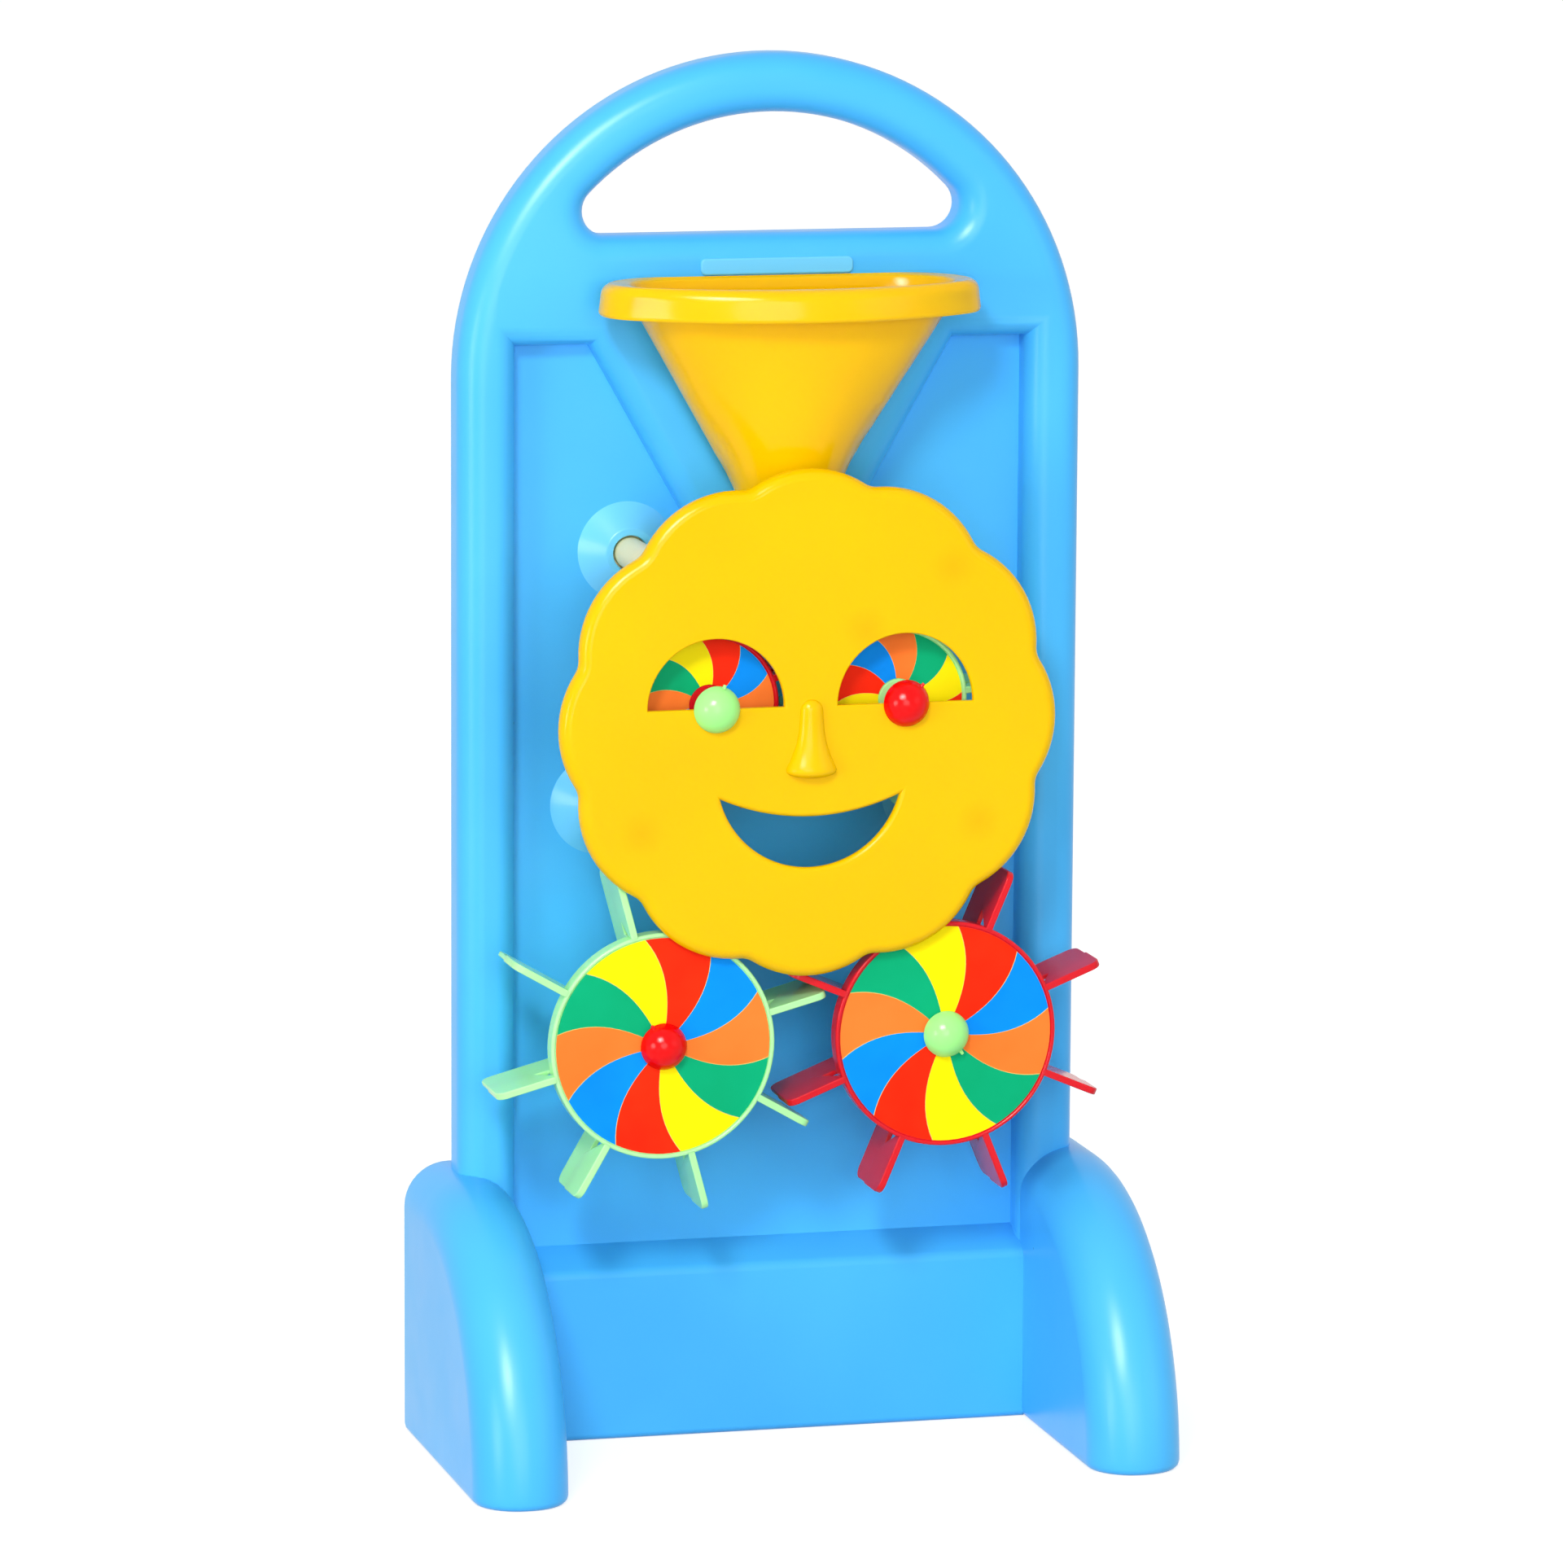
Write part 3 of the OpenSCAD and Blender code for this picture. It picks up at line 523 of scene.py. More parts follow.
def label_plate():
    corner = LABEL_HEIGHT / 3
    x, z = LABEL_LENGTH / 2 - corner, LABEL_HEIGHT / 2 - corner
    back = HALF_THICKNESS - BOSS_BURIED

    def spot(dx, dz):
        return at(dx, back, LABEL_Z + dz)

    def corner_arc(dx, dz):
        return (spot(dx, dz), 90, LABEL_STEPS)

    bm = prism(spot(x + corner, -z), [
        spot(x + corner, z), corner_arc(x, z), spot(-x, z + corner), corner_arc(-x, z),
        spot(-x - corner, -z), corner_arc(-x, -z), spot(x, -z - corner), corner_arc(x, -z)],
        TO_VIEWER * (BOSS_BURIED + LABEL_PROUD) * MM)
    front_y = at(0, HALF_THICKNESS + LABEL_PROUD, 0).y
    front_rim = [edge for edge in bm.edges if lies_on(edge, 1, front_y)]
    soften(bm, front_rim, LABEL_PROUD * LABEL_EDGE_SHARE, LABEL_EDGE_STEPS)
    return paint_sheen_on(bm)


for x, z in list(WHEEL_AXES.values()) + list(EYE_AXES.values()):
    merge(frame_mesh, boss(x, z, PIN_HOLE))
for x, z in SUN_PEGS:
    merge(frame_mesh, boss(x, z, PEG_HOLE))
merge(frame_mesh, label_plate())
# The second slot is the paler blue, painted sheen for the bosses and the label plate.
finish_piece(to_object("frame_moulding", frame_mesh), "frame", [frame_blue, painted_sheen_blue],
             ["frame_shell"])

# %% [markdown]
# The funnel has a D-shaped plan: a straight back against the frame, round ends and a bowed front. It is
# an injection moulding with an even wall, so a stack of D loops walks over its section: up the outside
# of the lip, over the round rim, down the inside to the outlet, and back up the outside.

# %% The funnel
FUNNEL_HALF, FUNNEL_BACK, FUNNEL_FRONT, FUNNEL_END, LIP_Z, LIP_HEIGHT = 71.8, 13.3, 73, 20, 437, 12
OUTLET_HALF, OUTLET_FRONT, OUTLET_END, OUTLET_Z, FUNNEL_WALL = 14, 47, 9.3, 352, 2
LIP_WIDTH, LIP_ROUND, LIP_TAPER, LIP_CROWN, LIP_INNER_ROUND = 11.2, 4.6, 0.7, 0.4, 1.2
LIP_FOOT = [(0, 1.5), (0.3, 4)]
LIP_UNDERSIDE = [(2.8, 9, 1), (2.0, 7, 1), (1.8, 0.6, 1), (1.4, 0.2, 0.7), (0.9, 0.1, 0.4), (0.3, 0.6, 0.2)]
RIM_LEAN, MOUTH_STEP, BACK_STEP = 0.4, 0.6, 1
CONE_END, CONE_DROP, CONE_SHARES = 21, 1.5, (0.04, 0.2, 0.35, 0.5, 0.62, 0.74, 0.87, 1.0)
FUNNEL_END_STEPS, FUNNEL_BOW_STEPS = 14, 40


def d_loop(bm, half, back, front, end, z):
    across, along = half - end, front - back - end
    bow = (across ** 2 + along ** 2 - end ** 2) / (2 * (along - end))
    tip = math.degrees(math.atan2(back + end - front + bow, across))
    return outline(bm, at(-across, back, z), [
        at(across, back, z), (at(across, back + end, z), 90 + tip, FUNNEL_END_STEPS),
        (at(0, front - bow, z), 180 - 2 * tip, FUNNEL_BOW_STEPS),
        (at(-across, back + end, z), 90 + tip, FUNNEL_END_STEPS)], axis=-UPWARDS)


def lip_loop(bm, inset, z, back):
    end = FUNNEL_END + (CONE_END - FUNNEL_END) * inset / LIP_WIDTH
    return d_loop(bm, FUNNEL_HALF - inset, FUNNEL_BACK + back, FUNNEL_FRONT - inset, end, z)


def funnel():
    bm = bmesh.new()
    low = LIP_Z - LIP_HEIGHT
    rim = round_corner((LIP_TAPER + LIP_ROUND, LIP_Z - LIP_ROUND), LIP_ROUND, 180, 90, 7)
    mouth_centre = (LIP_WIDTH - LIP_INNER_ROUND, LIP_Z - LIP_CROWN - LIP_INNER_ROUND)
    mouth = round_corner(mouth_centre, LIP_INNER_ROUND, 90, 0, 4)
    loops = [lip_loop(bm, inset, low + rise, 0) for inset, rise in LIP_FOOT]
    loops += [lip_loop(bm, inset, z, RIM_LEAN * index / len(rim)) for index, (inset, z) in enumerate(rim)]
    loops += [lip_loop(bm, inset, z, MOUTH_STEP + FUNNEL_WALL * index / len(mouth))
              for index, (inset, z) in enumerate(mouth)]
    inside, outside = [], []
    for share in CONE_SHARES:
        half = FUNNEL_HALF - LIP_WIDTH + (OUTLET_HALF - FUNNEL_HALF + LIP_WIDTH) * share
        front = FUNNEL_FRONT - LIP_WIDTH + (OUTLET_FRONT - FUNNEL_FRONT + LIP_WIDTH) * share
        end = CONE_END + (OUTLET_END - CONE_END) * share
        z = LIP_Z - CONE_DROP + (OUTLET_Z - LIP_Z + CONE_DROP) * share
        back = FUNNEL_BACK + BACK_STEP
        less, more = FUNNEL_WALL * share, FUNNEL_WALL * (1 - share)
        inside.append(d_loop(bm, half - less, back + FUNNEL_WALL, front - less, end - less, z))
        outside.append(d_loop(bm, half + more, back, front + more, end + more, z - more))
    loops += inside + outside[::-1]
    loops += [lip_loop(bm, inset, low + rise, back) for inset, rise, back in LIP_UNDERSIDE]
    strips(bm, loops + loops[:1])
    bmesh.ops.recalc_face_normals(bm, faces=bm.faces)
    print("funnel open edges:", open_edges(bm))
    return bm


finish_piece(to_object("funnel_moulding", funnel()), "frame", [funnel_yellow], ["funnel"])

# %% [markdown]
# The sun is a thin plate with a turned edge. Twelve lobes and the small fillets between them are arcs,
# so its outline can be drawn at any inset by changing two radii. The eye windows and the smiling mouth
# are drawn the same way, and one fill closes the flat front between all four outlines.

# %% The sun
SUN_Z, SUN_BACK, SUN_SKIRT, SKIRT_WALL = 277.3, 64.5, 62, 2.4
LOBES, LOBE_RING, LOBE_RADIUS, VALLEY_RADIUS = 12, 55.6, 38.3, 9
WINDOW_RADIUS, PIN_NOTCH = 25.8, 4.3
MOUTH_Z, MOUTH_HALF, MOUTH_LOW_SAG, MOUTH_TOP_SAG = 250.6, 34, 26.3, 7.4
SUN_ROUND, WINDOW_ROUND, MOUTH_ROUND = 4.2, 0.7, 1.7
SOCKET_INNER, SOCKET_OUTER, SOCKET_DEPTH, SOCKET_BURIED, SOCKET_STEPS = 5.86, 8.06, 58.5, 0.5, 40
LOBE_STEPS, VALLEY_STEPS, NOTCH_STEPS, SUN_ARC_STEPS = 14, 6, 12, 40


def sun_loop(bm, inset, depth):
    pitch = math.radians(180 / LOBES)
    reach = LOBE_RADIUS + VALLEY_RADIUS
    valley = LOBE_RING * math.cos(pitch) + math.sqrt(reach ** 2 - (LOBE_RING * math.sin(pitch)) ** 2)
    swing = math.degrees(math.atan2(valley * math.sin(pitch), valley * math.cos(pitch) - LOBE_RING))
    fillet = 2 * swing - 360 / LOBES

    def spot(radius, degrees):
        turn = math.radians(degrees)
        return at(radius * math.cos(turn), depth, SUN_Z + radius * math.sin(turn))

    turn = math.radians(90 - swing)
    first = spot(LOBE_RING, 90)
    start = first + Vector((math.cos(turn), 0, math.sin(turn))) * (LOBE_RADIUS - inset) * MM
    strokes = []
    for lobe in range(LOBES):
        middle = 90 + 360 * lobe / LOBES
        strokes.append((spot(LOBE_RING, middle), 2 * swing, LOBE_STEPS))
        strokes.append((spot(valley, middle + 180 / LOBES), -fillet, VALLEY_STEPS))
    return outline(bm, start, strokes)


def window_loop(bm, x, outset, depth):
    radius, notch = WINDOW_RADIUS + outset, PIN_NOTCH + outset
    sill = EYE_Z - outset
    dip, drop = math.asin(outset / notch), math.asin(outset / radius)
    wide, narrow = radius * math.cos(drop), notch * math.cos(dip)
    centre = at(x, depth, EYE_Z)
    return outline(bm, at(x - wide, depth, sill), [
        at(x - narrow, depth, sill), (centre, 180 - 2 * math.degrees(dip), NOTCH_STEPS),
        at(x + wide, depth, sill), (centre, 180 + 2 * math.degrees(drop), SUN_ARC_STEPS)])


def mouth_loop(bm, outset, depth):
    def bow(half, sag):
        return (half ** 2 + sag ** 2) / (2 * sag)

    low, top = bow(MOUTH_HALF, MOUTH_LOW_SAG), bow(MOUTH_HALF, MOUTH_TOP_SAG)
    low_z, top_z = low - MOUTH_LOW_SAG, top - MOUTH_TOP_SAG
    low, top = low + outset, top - outset
    z = (low_z ** 2 - top_z ** 2 - low ** 2 + top ** 2) / (2 * (low_z - top_z))
    x = math.sqrt(low ** 2 - (z - low_z) ** 2)
    return outline(bm, at(-x, depth, MOUTH_Z + z), [
        (at(0, depth, MOUTH_Z + low_z), 2 * math.degrees(math.atan2(x, low_z - z)), SUN_ARC_STEPS),
        (at(0, depth, MOUTH_Z + top_z), -2 * math.degrees(math.atan2(x, top_z - z)), SUN_ARC_STEPS)])


def sun():
    bm = bmesh.new()
    edge = [sun_loop(bm, *pair) for pair in quarter_round(SUN_ROUND, SUN_FRONT) + [
        (0, SUN_SKIRT), (SKIRT_WALL, SUN_SKIRT), (SKIRT_WALL, SUN_BACK)]]
    mouth_wall = quarter_round(MOUTH_ROUND, SUN_FRONT) + [(0, SUN_BACK)]
    window_wall = quarter_round(WINDOW_ROUND, SUN_FRONT) + [(0, SUN_BACK)]
    holes = [[mouth_loop(bm, *pair) for pair in mouth_wall]]
    for x, _ in EYE_AXES.values():
        holes.append([window_loop(bm, x, *pair) for pair in window_wall])
    for loops in [edge] + holes:
        strips(bm, loops)
    fill(bm, edge[0], *[loops[0] for loops in holes])
    fill(bm, edge[-1], *[loops[-1] for loops in holes])
    bmesh.ops.recalc_face_normals(bm, faces=bm.faces)
    print("sun open edges:", open_edges(bm))
    root = SUN_BACK + SOCKET_BURIED
    socket = [(SOCKET_OUTER, root), (SOCKET_INNER, root), (SOCKET_INNER, SOCKET_DEPTH),
              (SOCKET_OUTER, SOCKET_DEPTH)]
    for x, z in SUN_PEGS:
        merge(bm, turned(x, z, socket, steps=SOCKET_STEPS))
    return bm


sun_mesh = sun()

# %% [markdown]
# The nose is a small bell that grows out of the plate: a narrow round bridge that flares to a full lower
# end. Half of its outline, from top to bottom, is turned about an upright axis. The bell is then pressed
# flatter, and a cut takes away the half that would stand behind the plate.

# %% The nose
NOSE_TOP, NOSE_FLATNESS, NOSE_ROOT = 286.7, 0.64, 1
NOSE_BRIDGE, NOSE_BRIDGE_STEPS, NOSE_STEPS, NOSE_SMOOTHING = 4.3, 8, 48, 0.3
NOSE_FLARE = [(4.45, 8), (4.85, 12), (5.7, 16.4), (7.1, 20.4), (8.5, 23.4), (9.3, 25.1), (9.5, 26.1),
              (9.2, 27), (8.3, 27.7), (6.2, 28.4), (3.3, 28.9), (0, 29.1)]


def everything(bm):
    return list(bm.verts) + list(bm.edges) + list(bm.faces)


def nose():
    bm = bmesh.new()
    dome = round_corner((0, NOSE_BRIDGE), NOSE_BRIDGE, -90, 0, NOSE_BRIDGE_STEPS)
    places = [at(radius, SUN_FRONT, NOSE_TOP - drop) for radius, drop in dome + NOSE_FLARE]
    root = at(0, SUN_FRONT, 0)
    lathe(bm, outline(bm, places[0], places[1:], closed=False), root, UPWARDS, NOSE_STEPS)
    bmesh.ops.scale(bm, vec=(1, NOSE_FLATNESS, 1), space=Matrix.Translation(-root), verts=bm.verts)
    bmesh.ops.bisect_plane(bm, geom=everything(bm), clear_outer=True,
                           plane_co=at(0, SUN_FRONT - NOSE_ROOT, 0), plane_no=-TO_VIEWER)
    bmesh.ops.holes_fill(bm, edges=[edge for edge in bm.edges if edge.is_boundary], sides=0)
    bmesh.ops.smooth_vert(bm, verts=[vert for vert in bm.verts if not vert.is_boundary],
                          factor=NOSE_SMOOTHING, use_axis_x=True, use_axis_y=True, use_axis_z=True)
    bmesh.ops.recalc_face_normals(bm, faces=bm.faces)
    return bm


merge(sun_mesh, nose())
finish_piece(to_object("sun_moulding", sun_mesh), "frame", [sun_yellow], ["sun_face"])

# %% [markdown]
# A wheel is one moulding: a rim, a thin web, a long hub and eight paddles. The round part is turned from
# half of its section. A paddle is a thin plate with a thicker pad in front, whose corner is cut off near
# the rim. Two flat outlines are thickened for it, their edges get a small bevel, and spin copies them.

# %% The paddle wheels
HUB_BACK, HUB_RADIUS, RIM_WALL, RIM_DEPTH, WEB, WEB_RECESS = 7.3, 7.2, 1.6, 6.5, 2, 0.8
HUB_EDGE, RIM_STEPS, WHEEL_STEPS = 0.3, 8, 96
PADDLES, PLATE, PAD, PAD_SHARE, PADDLE_CORNER, TIP_STEP = 8, 1.8, 2.6, 0.57, 4, 0.3
PADDLE_BURIED, PADDLE_EDGE, PADDLE_EDGE_STEPS, SHARP_ANGLE = 0.8, 0.45, 3, math.radians(60)
PAD_SHOULDER, PAD_SLANT, PAD_LOW_CORNER = 3, 8.5, 1
LOWER_WHEEL = {"front": 61, "rim": 42.2, "tip": 64.4, "width": 31.5}
EYE_WHEEL = {"front": 56, "rim": 26.4, "tip": 41.5, "width": 30}


def wheel_disc(x, z, front, rim):
    inner, web = rim - RIM_WALL, front - WEB_RECESS
    return turned(x, z, [
        (PIN_HOLE, HUB_BACK), (HUB_RADIUS, HUB_BACK), (HUB_RADIUS, web - WEB), (inner, web - WEB),
        (inner, front - RIM_DEPTH), (rim, front - RIM_DEPTH)]
        + round_corner((rim - RIM_WALL / 2, front - RIM_WALL / 2), RIM_WALL / 2, 0, 180, RIM_STEPS)
        + [(inner, web), (HUB_RADIUS, web), (HUB_RADIUS, front - HUB_EDGE),
           (HUB_RADIUS - HUB_EDGE, front), (PIN_HOLE, front)], steps=WHEEL_STEPS)


def paddle(x, z, front, rim, tip, width):
    root, step = HUB_RADIUS - PADDLE_BURIED, front - WEB_RECESS - WEB / 2
    middle, back, pad_back = rim - RIM_WALL / 2, front - width, front - PAD_SHARE * width
    corner, low_corner, end = PADDLE_CORNER, PAD_LOW_CORNER, tip - TIP_STEP

    def drawn(thickness, start, strokes):
        def spot(radius, depth):
            return at(x + radius, depth, z - thickness / 2)

        places = [spot(*stroke) if len(stroke) == 2 else (spot(*stroke[:2]), 90, stroke[2])
                  for stroke in strokes]
        bm = prism(spot(*start), places, UPWARDS * thickness * MM, axis=-UPWARDS)
        sharp = [edge for edge in bm.edges if edge.calc_face_angle(0) > SHARP_ANGLE]
        soften(bm, sharp, PADDLE_EDGE, PADDLE_EDGE_STEPS)
        return bm

    bm = drawn(PLATE, (root, back), [
        (end - corner, back), (end - corner, back + corner, 5), (end, pad_back + corner),
        (middle, pad_back + corner), (middle, step), (root, step)])
    merge(bm, drawn(PAD, (middle, front - PAD_SHOULDER), [
        (middle + PAD_SLANT, pad_back), (tip - low_corner, pad_back),
        (tip - low_corner, pad_back + low_corner, 4), (tip, front - corner),
        (tip - corner, front - corner, 6), (middle, front)]))
    return bm


def wheel(name, body, material, node, place, sizes, turn):
    x, z = place
    bm = paddle(x, z, **sizes)
    hub = at(x, 0, z)
    first_turn = Matrix.Rotation(math.radians(turn), 3, TO_VIEWER)
    bmesh.ops.rotate(bm, verts=bm.verts, cent=hub, matrix=first_turn)
    bmesh.ops.spin(bm, geom=everything(bm), cent=hub, axis=TO_VIEWER, steps=PADDLES - 1, dvec=(0, 0, 0),
                   angle=math.tau * (PADDLES - 1) / PADDLES, use_merge=False, use_duplicate=True)
    merge(bm, wheel_disc(x, z, sizes["front"], sizes["rim"]))
    print(name, "open edges:", open_edges(bm))
    return finish_piece(to_object(name, bm), body, [material], [node])


wheel("paddle_moulding_left", "paddle_left", wheel_green, "paddle_wheel_left",
      WHEEL_AXES["left"], LOWER_WHEEL, 15)
wheel("paddle_moulding_right", "paddle_right", wheel_red, "paddle_wheel_right",
      WHEEL_AXES["right"], LOWER_WHEEL, 22)
wheel("eye_moulding_left", "eye_left", wheel_red, "eye_wheel_left",
      EYE_AXES["left"], EYE_WHEEL, 20)
wheel("eye_moulding_right", "eye_right", wheel_green, "eye_wheel_right",
      EYE_AXES["right"], EYE_WHEEL, 5)

# %% [markdown]
# The stickers carry the common pinwheel pattern of ten curved sectors in five colours. The pattern is
# cut into the mesh: one curved edge is spun from sector to sector, and every strip of faces that spin
# leaves behind gets its ink. A last thin strip of each sector stays pale, as where two inks meet.

# %% The printed stickers
STICKER, STICKER_GAP, SECTORS, SECTOR_LEAN, LINE_DEGREES = 0.3, 0.3, 10, 17, 0.4
SPIRAL_STEPS, SECTOR_STEPS, SPIRAL_POWER = 12, 8, 1.6


def ink(name, colour, deeper):
    return plastic(name, colour, deeper, gloss=(0.38, 0.5), cloud=35, grain=1500, grain_depth=0.03,
                   shine=0.08)


inks = [ink("ink red", screen(255, 46, 6), screen(248, 36, 4)),
        ink("ink yellow", screen(255, 240, 0), screen(253, 232, 0)),
        ink("ink green", screen(0, 176, 120), screen(0, 166, 110)),
        ink("ink orange", screen(255, 132, 52), screen(252, 122, 44)),
        ink("ink blue", screen(0, 148, 250), screen(0, 138, 244)),
        ink("ink line", screen(236, 206, 112), screen(228, 196, 100))]
COLOURS = len(inks) - 1


def sticker(name, body, node, place, sizes, red_from):
    x, z = place
    inner, outer = HUB_RADIUS + STICKER_GAP, sizes["rim"] - RIM_WALL - STICKER_GAP
    top = sizes["front"] - WEB_RECESS + STICKER
    hub = at(x, 0, z)

    def spiral(share):
        turn = math.radians(red_from - SECTOR_LEAN * (1 - share ** SPIRAL_POWER))
        radius = inner + (outer - inner) * share
        return at(x + radius * math.cos(turn), top, z + radius * math.sin(turn))

    bm = bmesh.new()
    places = [spiral(step / SPIRAL_STEPS) for step in range(SPIRAL_STEPS + 1)]
    edges = outline(bm, places[0], places[1:], closed=False)
    front = edges + verts_of(edges)
    for sector in range(SECTORS):
        field = (360 / SECTORS - LINE_DEGREES, SECTOR_STEPS, sector % COLOURS)
        line = (LINE_DEGREES, 1, COLOURS)
        for degrees, steps, colour in (field, line):
            known = set(bm.faces)
            swept = bmesh.ops.spin(bm, geom=front, cent=hub, axis=TO_VIEWER, angle=math.radians(degrees),
                                   steps=steps, dvec=(0, 0, 0), use_merge=False, use_duplicate=False)
            front = swept["geom_last"]
            for face in bm.faces:
                if face not in known:
                    face.material_index = colour
    bmesh.ops.remove_doubles(bm, verts=bm.verts, dist=SAME_PLACE)
    thicken(bm, list(bm.faces), -TO_VIEWER * STICKER * MM)
    return finish_piece(to_object(name, bm), body, inks, [node])


sticker("wheel_print_left", "paddle_left", "wheel_sticker_left", WHEEL_AXES["left"], LOWER_WHEEL, 64)
sticker("wheel_print_right", "paddle_right", "wheel_sticker_right", WHEEL_AXES["right"], LOWER_WHEEL, 47.6)
sticker("eye_print_left", "eye_left", "eye_sticker_left", EYE_AXES["left"], EYE_WHEEL, 62)
sticker("eye_print_right", "eye_right", "eye_sticker_right", EYE_AXES["right"], EYE_WHEEL, 148)

# %% [markdown]
# Every wheel turns on a pin with a domed head. Half of its outline, from the tip of the dome down the
# shaft to its far end, is turned about the axis. A tiny nub on the edge of the head is what is left of
# the gate through which the mould was filled.

# %% The pins
HEAD_RADIUS, HEAD_HEIGHT, PIN_RADIUS, PIN_BACK, LOWER_SEAT, EYE_SEAT = 8.8, 7, 4, -10.5, 61.3, 67.3
HEAD_EDGE = [(0.1, 0.3), (0.4, 0)]
DOME_END, DOME_STEPS, PIN_STEPS = 4, 18, 48
NUB_RADIUS, NUB_LENGTH, NUB_TAPER, NUB_SIDES = 0.8, 1.6, 0.7, 12


def pin(name, material, node, place, seat, nub_degrees):
    x, z = place
    dome = (HEAD_RADIUS ** 2 + HEAD_HEIGHT ** 2) / (2 * HEAD_HEIGHT)
    low = math.degrees(math.asin((dome - HEAD_HEIGHT) / dome))
    crown = round_corner((0, seat + HEAD_HEIGHT - dome), dome, 90, low + DOME_END, DOME_STEPS)
    edge = [(HEAD_RADIUS - inset, seat + rise) for inset, rise in HEAD_EDGE]
    shaft = [(PIN_RADIUS, seat), (PIN_RADIUS, PIN_BACK), (0, PIN_BACK)]
    bm = turned(x, z, crown + edge + shaft, closed=False, steps=PIN_STEPS)
    turn = math.radians(nub_degrees)
    outward = Vector((math.cos(turn), 0, math.sin(turn)))
    upright = outward.to_track_quat("Z", "Y").to_matrix().to_4x4()
    spot = Matrix.Translation(at(x, seat + NUB_LENGTH, z) + outward * HEAD_RADIUS * MM)
    bmesh.ops.create_cone(bm, cap_ends=True, segments=NUB_SIDES, radius1=NUB_RADIUS * MM,
                          radius2=NUB_RADIUS * NUB_TAPER * MM, depth=NUB_LENGTH * MM, matrix=spot @ upright)
    return finish_piece(to_object(name, bm), "frame", [material], [node])


pin("pin_moulding_lower_left", pin_red, "wheel_pin_left", WHEEL_AXES["left"], LOWER_SEAT, 121)
pin("pin_moulding_lower_right", pin_green, "wheel_pin_right", WHEEL_AXES["right"],
    LOWER_SEAT, -51)
pin("pin_moulding_eye_left", pin_green, "eye_pin_left", EYE_AXES["left"], EYE_SEAT, 74)
pin("pin_moulding_eye_right", pin_red, "eye_pin_right", EYE_AXES["right"], EYE_SEAT, 50)

# %% [markdown]
# The pegs are simple turned shapes that the CAD already gives well, so their nodes stay and only get
# their plastic: uncoloured for the four behind the sun, yellow for the two that hold the funnel.

# %% The pegs keep their CAD shape
pegs = {"sun_peg": peg_natural, "funnel_peg": funnel_yellow}
for name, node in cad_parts.items():
    for kind, material in pegs.items():
        if name.startswith(kind):
            for material_slot in node.material_slots:
                material_slot.material = material
            print(name, "gets", material.name)

# %% [markdown]
# The picture is a catalogue shot: a white background and broad, soft light from the upper left. The world
# fills the shadows, and for the eye of the camera it is plain white. The floor is pale and matt. It gets
# a little light of its own, which only direct views and reflections see, so that it melts into the
# background and still keeps the toy's shadow. A wide lamp beside the key light shows in reflections
# alone: like a photographer's soft box, it draws the bright streaks on the round edges.

# %% The studio
AMBIENT, FLOOR_TONE, FLOOR_LIFT, FLOOR_HALF = 0.55, 0.5, 0.74, 30
KEY_PLACE = (-0.9, -1.8, 1.65)
LAMPS = [("key light", KEY_PLACE, 0.45, 22), ("left light", (-2.0, -1.2, 0.4), 0.8, 15),
         ("front light", (-0.3, -2.4, 0.6), 1.3, 20), ("right light", (1.7, -1.6, 0.8), 1.2, 3)]
SHEEN_LAMP = ("sheen light", KEY_PLACE, 1.2, 70)
LOOKED_AT = Vector((0, 0.02, 0.26))


def seen_directly(tree):
    """One for rays from the camera, from glossy reflections and through glass, else zero."""
    path = tree.nodes.new("ShaderNodeLightPath")
    either = path.outputs["Is Camera Ray"]
    for name in ("Is Glossy Ray", "Is Transmission Ray"):
        greater = tree.nodes.new("ShaderNodeMath")
        greater.operation = "MAXIMUM"
        tree.links.new(either, greater.inputs[0])
        tree.links.new(path.outputs[name], greater.inputs[1])
        either = greater.outputs["Value"]
    return either


def scaled(tree, value, low, high):
    return spread(tree, value, low, high, 0, 1)


world = bpy.data.worlds.new("studio")
world.use_nodes = True
bpy.context.scene.world = world
background = world.node_tree.nodes["Background"]
background.inputs["Color"].default_value = (1, 1, 1, 1)
world.node_tree.links.new(scaled(world.node_tree, seen_directly(world.node_tree), AMBIENT, 1),
                          background.inputs["Strength"])

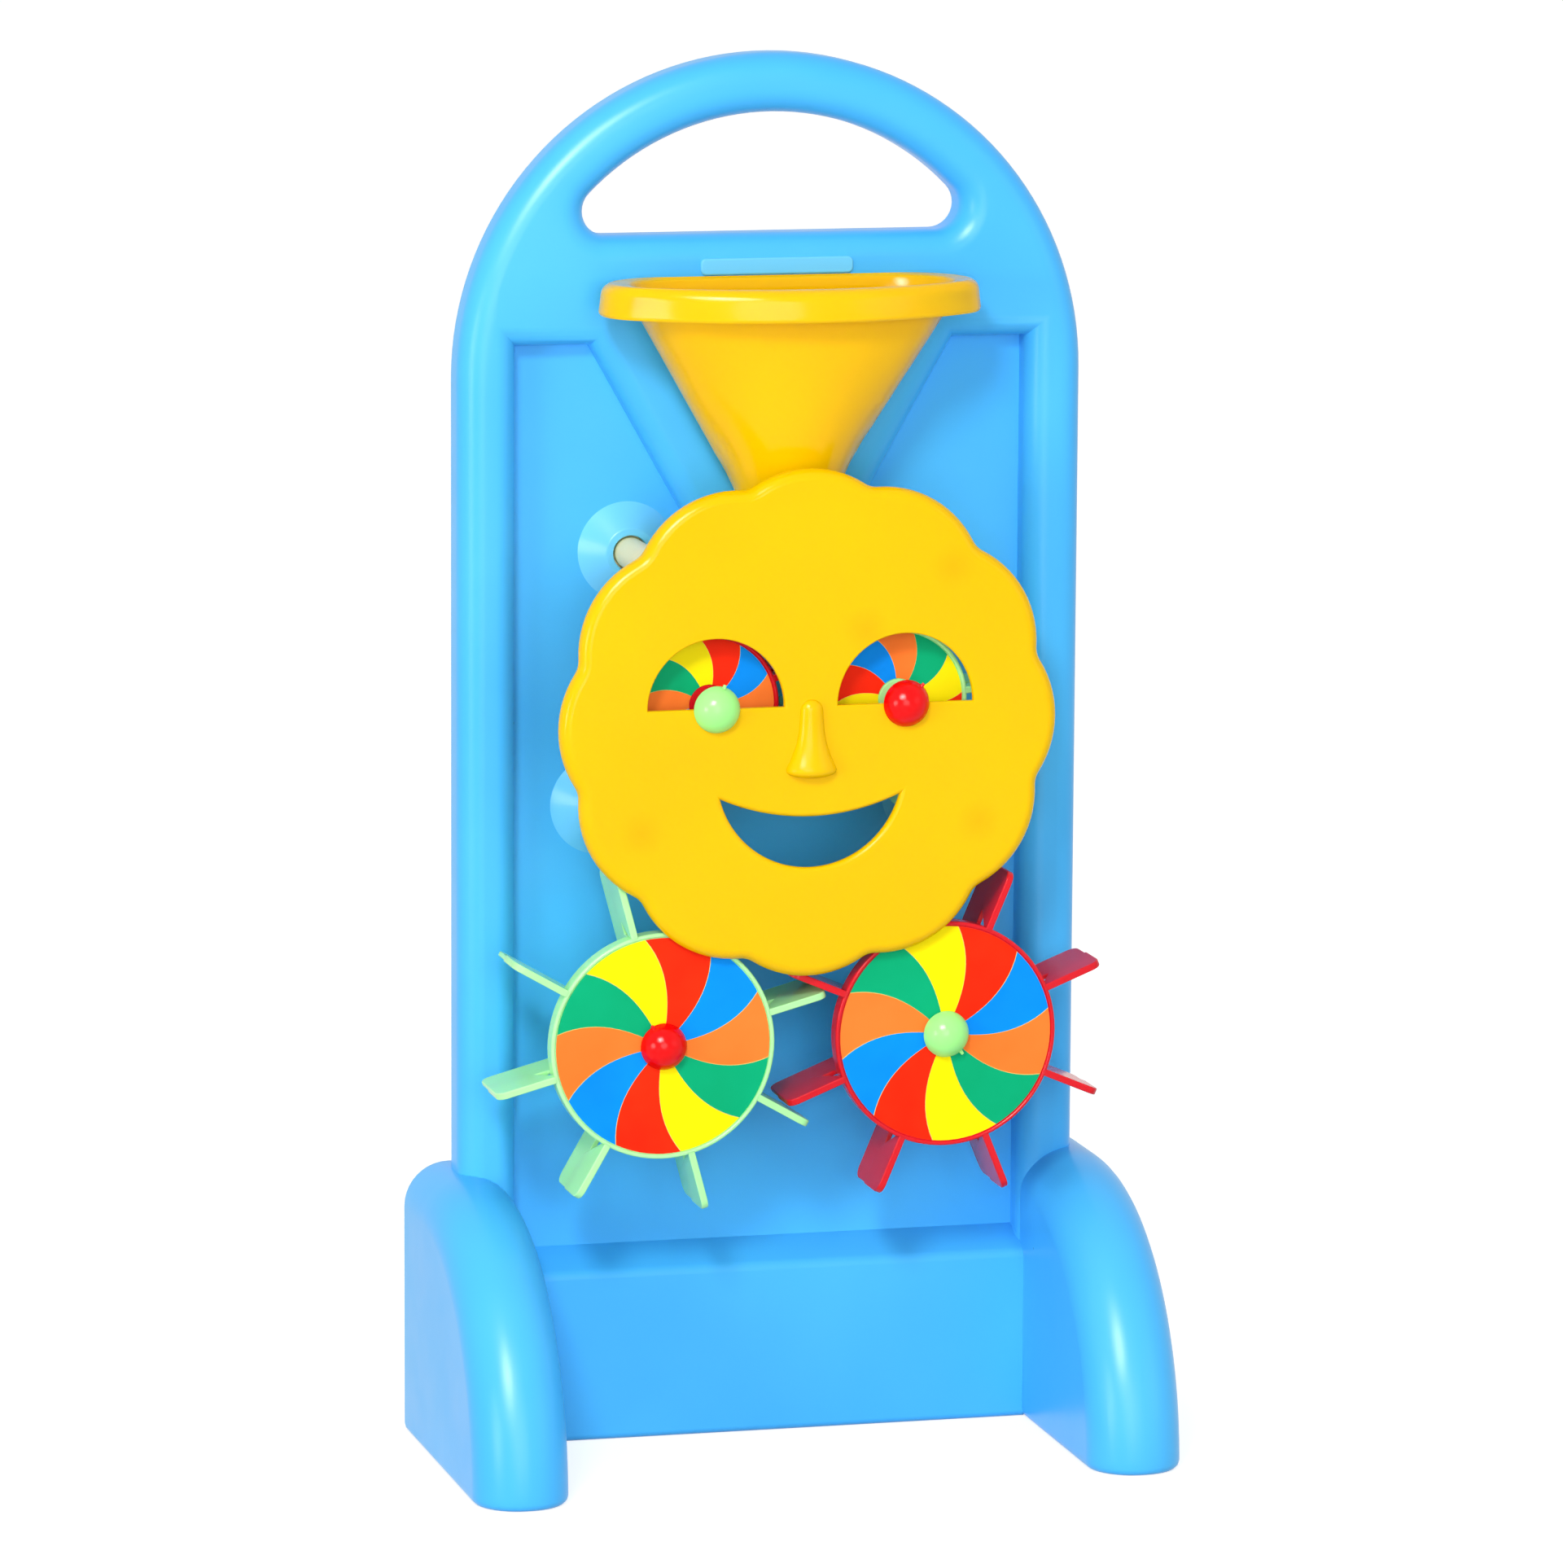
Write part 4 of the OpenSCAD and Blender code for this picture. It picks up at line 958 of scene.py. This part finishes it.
floor_mesh = bmesh.new()
bmesh.ops.create_grid(floor_mesh, x_segments=1, y_segments=1, size=FLOOR_HALF)
floor = to_object("floor", floor_mesh)
pale = bpy.data.materials.new("pale floor")
pale.use_nodes = True
tree = pale.node_tree
matt = tree.nodes["Principled BSDF"]
matt.inputs["Base Color"].default_value = (FLOOR_TONE, FLOOR_TONE, FLOOR_TONE, 1)
matt.inputs["Roughness"].default_value = 1
matt.inputs["Specular IOR Level"].default_value = 0
matt.inputs["Emission Color"].default_value = (1, 1, 1, 1)
tree.links.new(scaled(tree, seen_directly(tree), 0, FLOOR_LIFT), matt.inputs["Emission Strength"])
floor.data.materials.append(pale)


def lamp(name, place, size, power):
    light = bpy.data.lights.new(name, "AREA")
    light.shape = "DISK"
    light.size = size
    light.energy = power
    holder = bpy.data.objects.new(name, light)
    bpy.context.scene.collection.objects.link(holder)
    aim = (LOOKED_AT - Vector(place)).to_track_quat("-Z", "Y").to_matrix().to_4x4()
    holder.matrix_world = Matrix.Translation(place) @ aim
    return holder


for lamp_sizes in LAMPS:
    lamp(*lamp_sizes)
lamp(*SHEEN_LAMP).visible_diffuse = False
print("lamps:", [light.name for light in bpy.data.lights])

# %% [markdown]
# The camera stands a little to the left and above, far away with a long lens, as in a catalogue. Its
# place follows from three turns about a point in the middle of the toy: yaw, pitch and a trace of roll.

# %% The camera
YAW, PITCH, ROLL = (math.radians(turn) for turn in (14.745, 9.294, 0.336))
AIM, DISTANCE, SENSOR, LENS = at(6.4, 0, 244.5), 3.0807, 36, 189.74

ahead = Vector((math.sin(YAW) * math.cos(PITCH), math.cos(YAW) * math.cos(PITCH), -math.sin(PITCH)))
level = Vector((math.cos(YAW), -math.sin(YAW), 0))
upright = level.cross(ahead)
right = level * math.cos(ROLL) + upright * math.sin(ROLL)
above = upright * math.cos(ROLL) - level * math.sin(ROLL)
lens = bpy.data.cameras.new("camera")
lens.sensor_fit, lens.sensor_width, lens.lens = "HORIZONTAL", SENSOR, LENS
camera = bpy.data.objects.new("camera", lens)
bpy.context.scene.collection.objects.link(camera)
gaze = Matrix((right, above, -ahead)).transposed().to_4x4()
camera.matrix_world = Matrix.Translation(AIM - ahead * DISTANCE) @ gaze
bpy.context.scene.camera = camera
bpy.context.scene.view_settings.view_transform = "Standard"

bpy.context.view_layer.update()
print("camera at", camera.location)
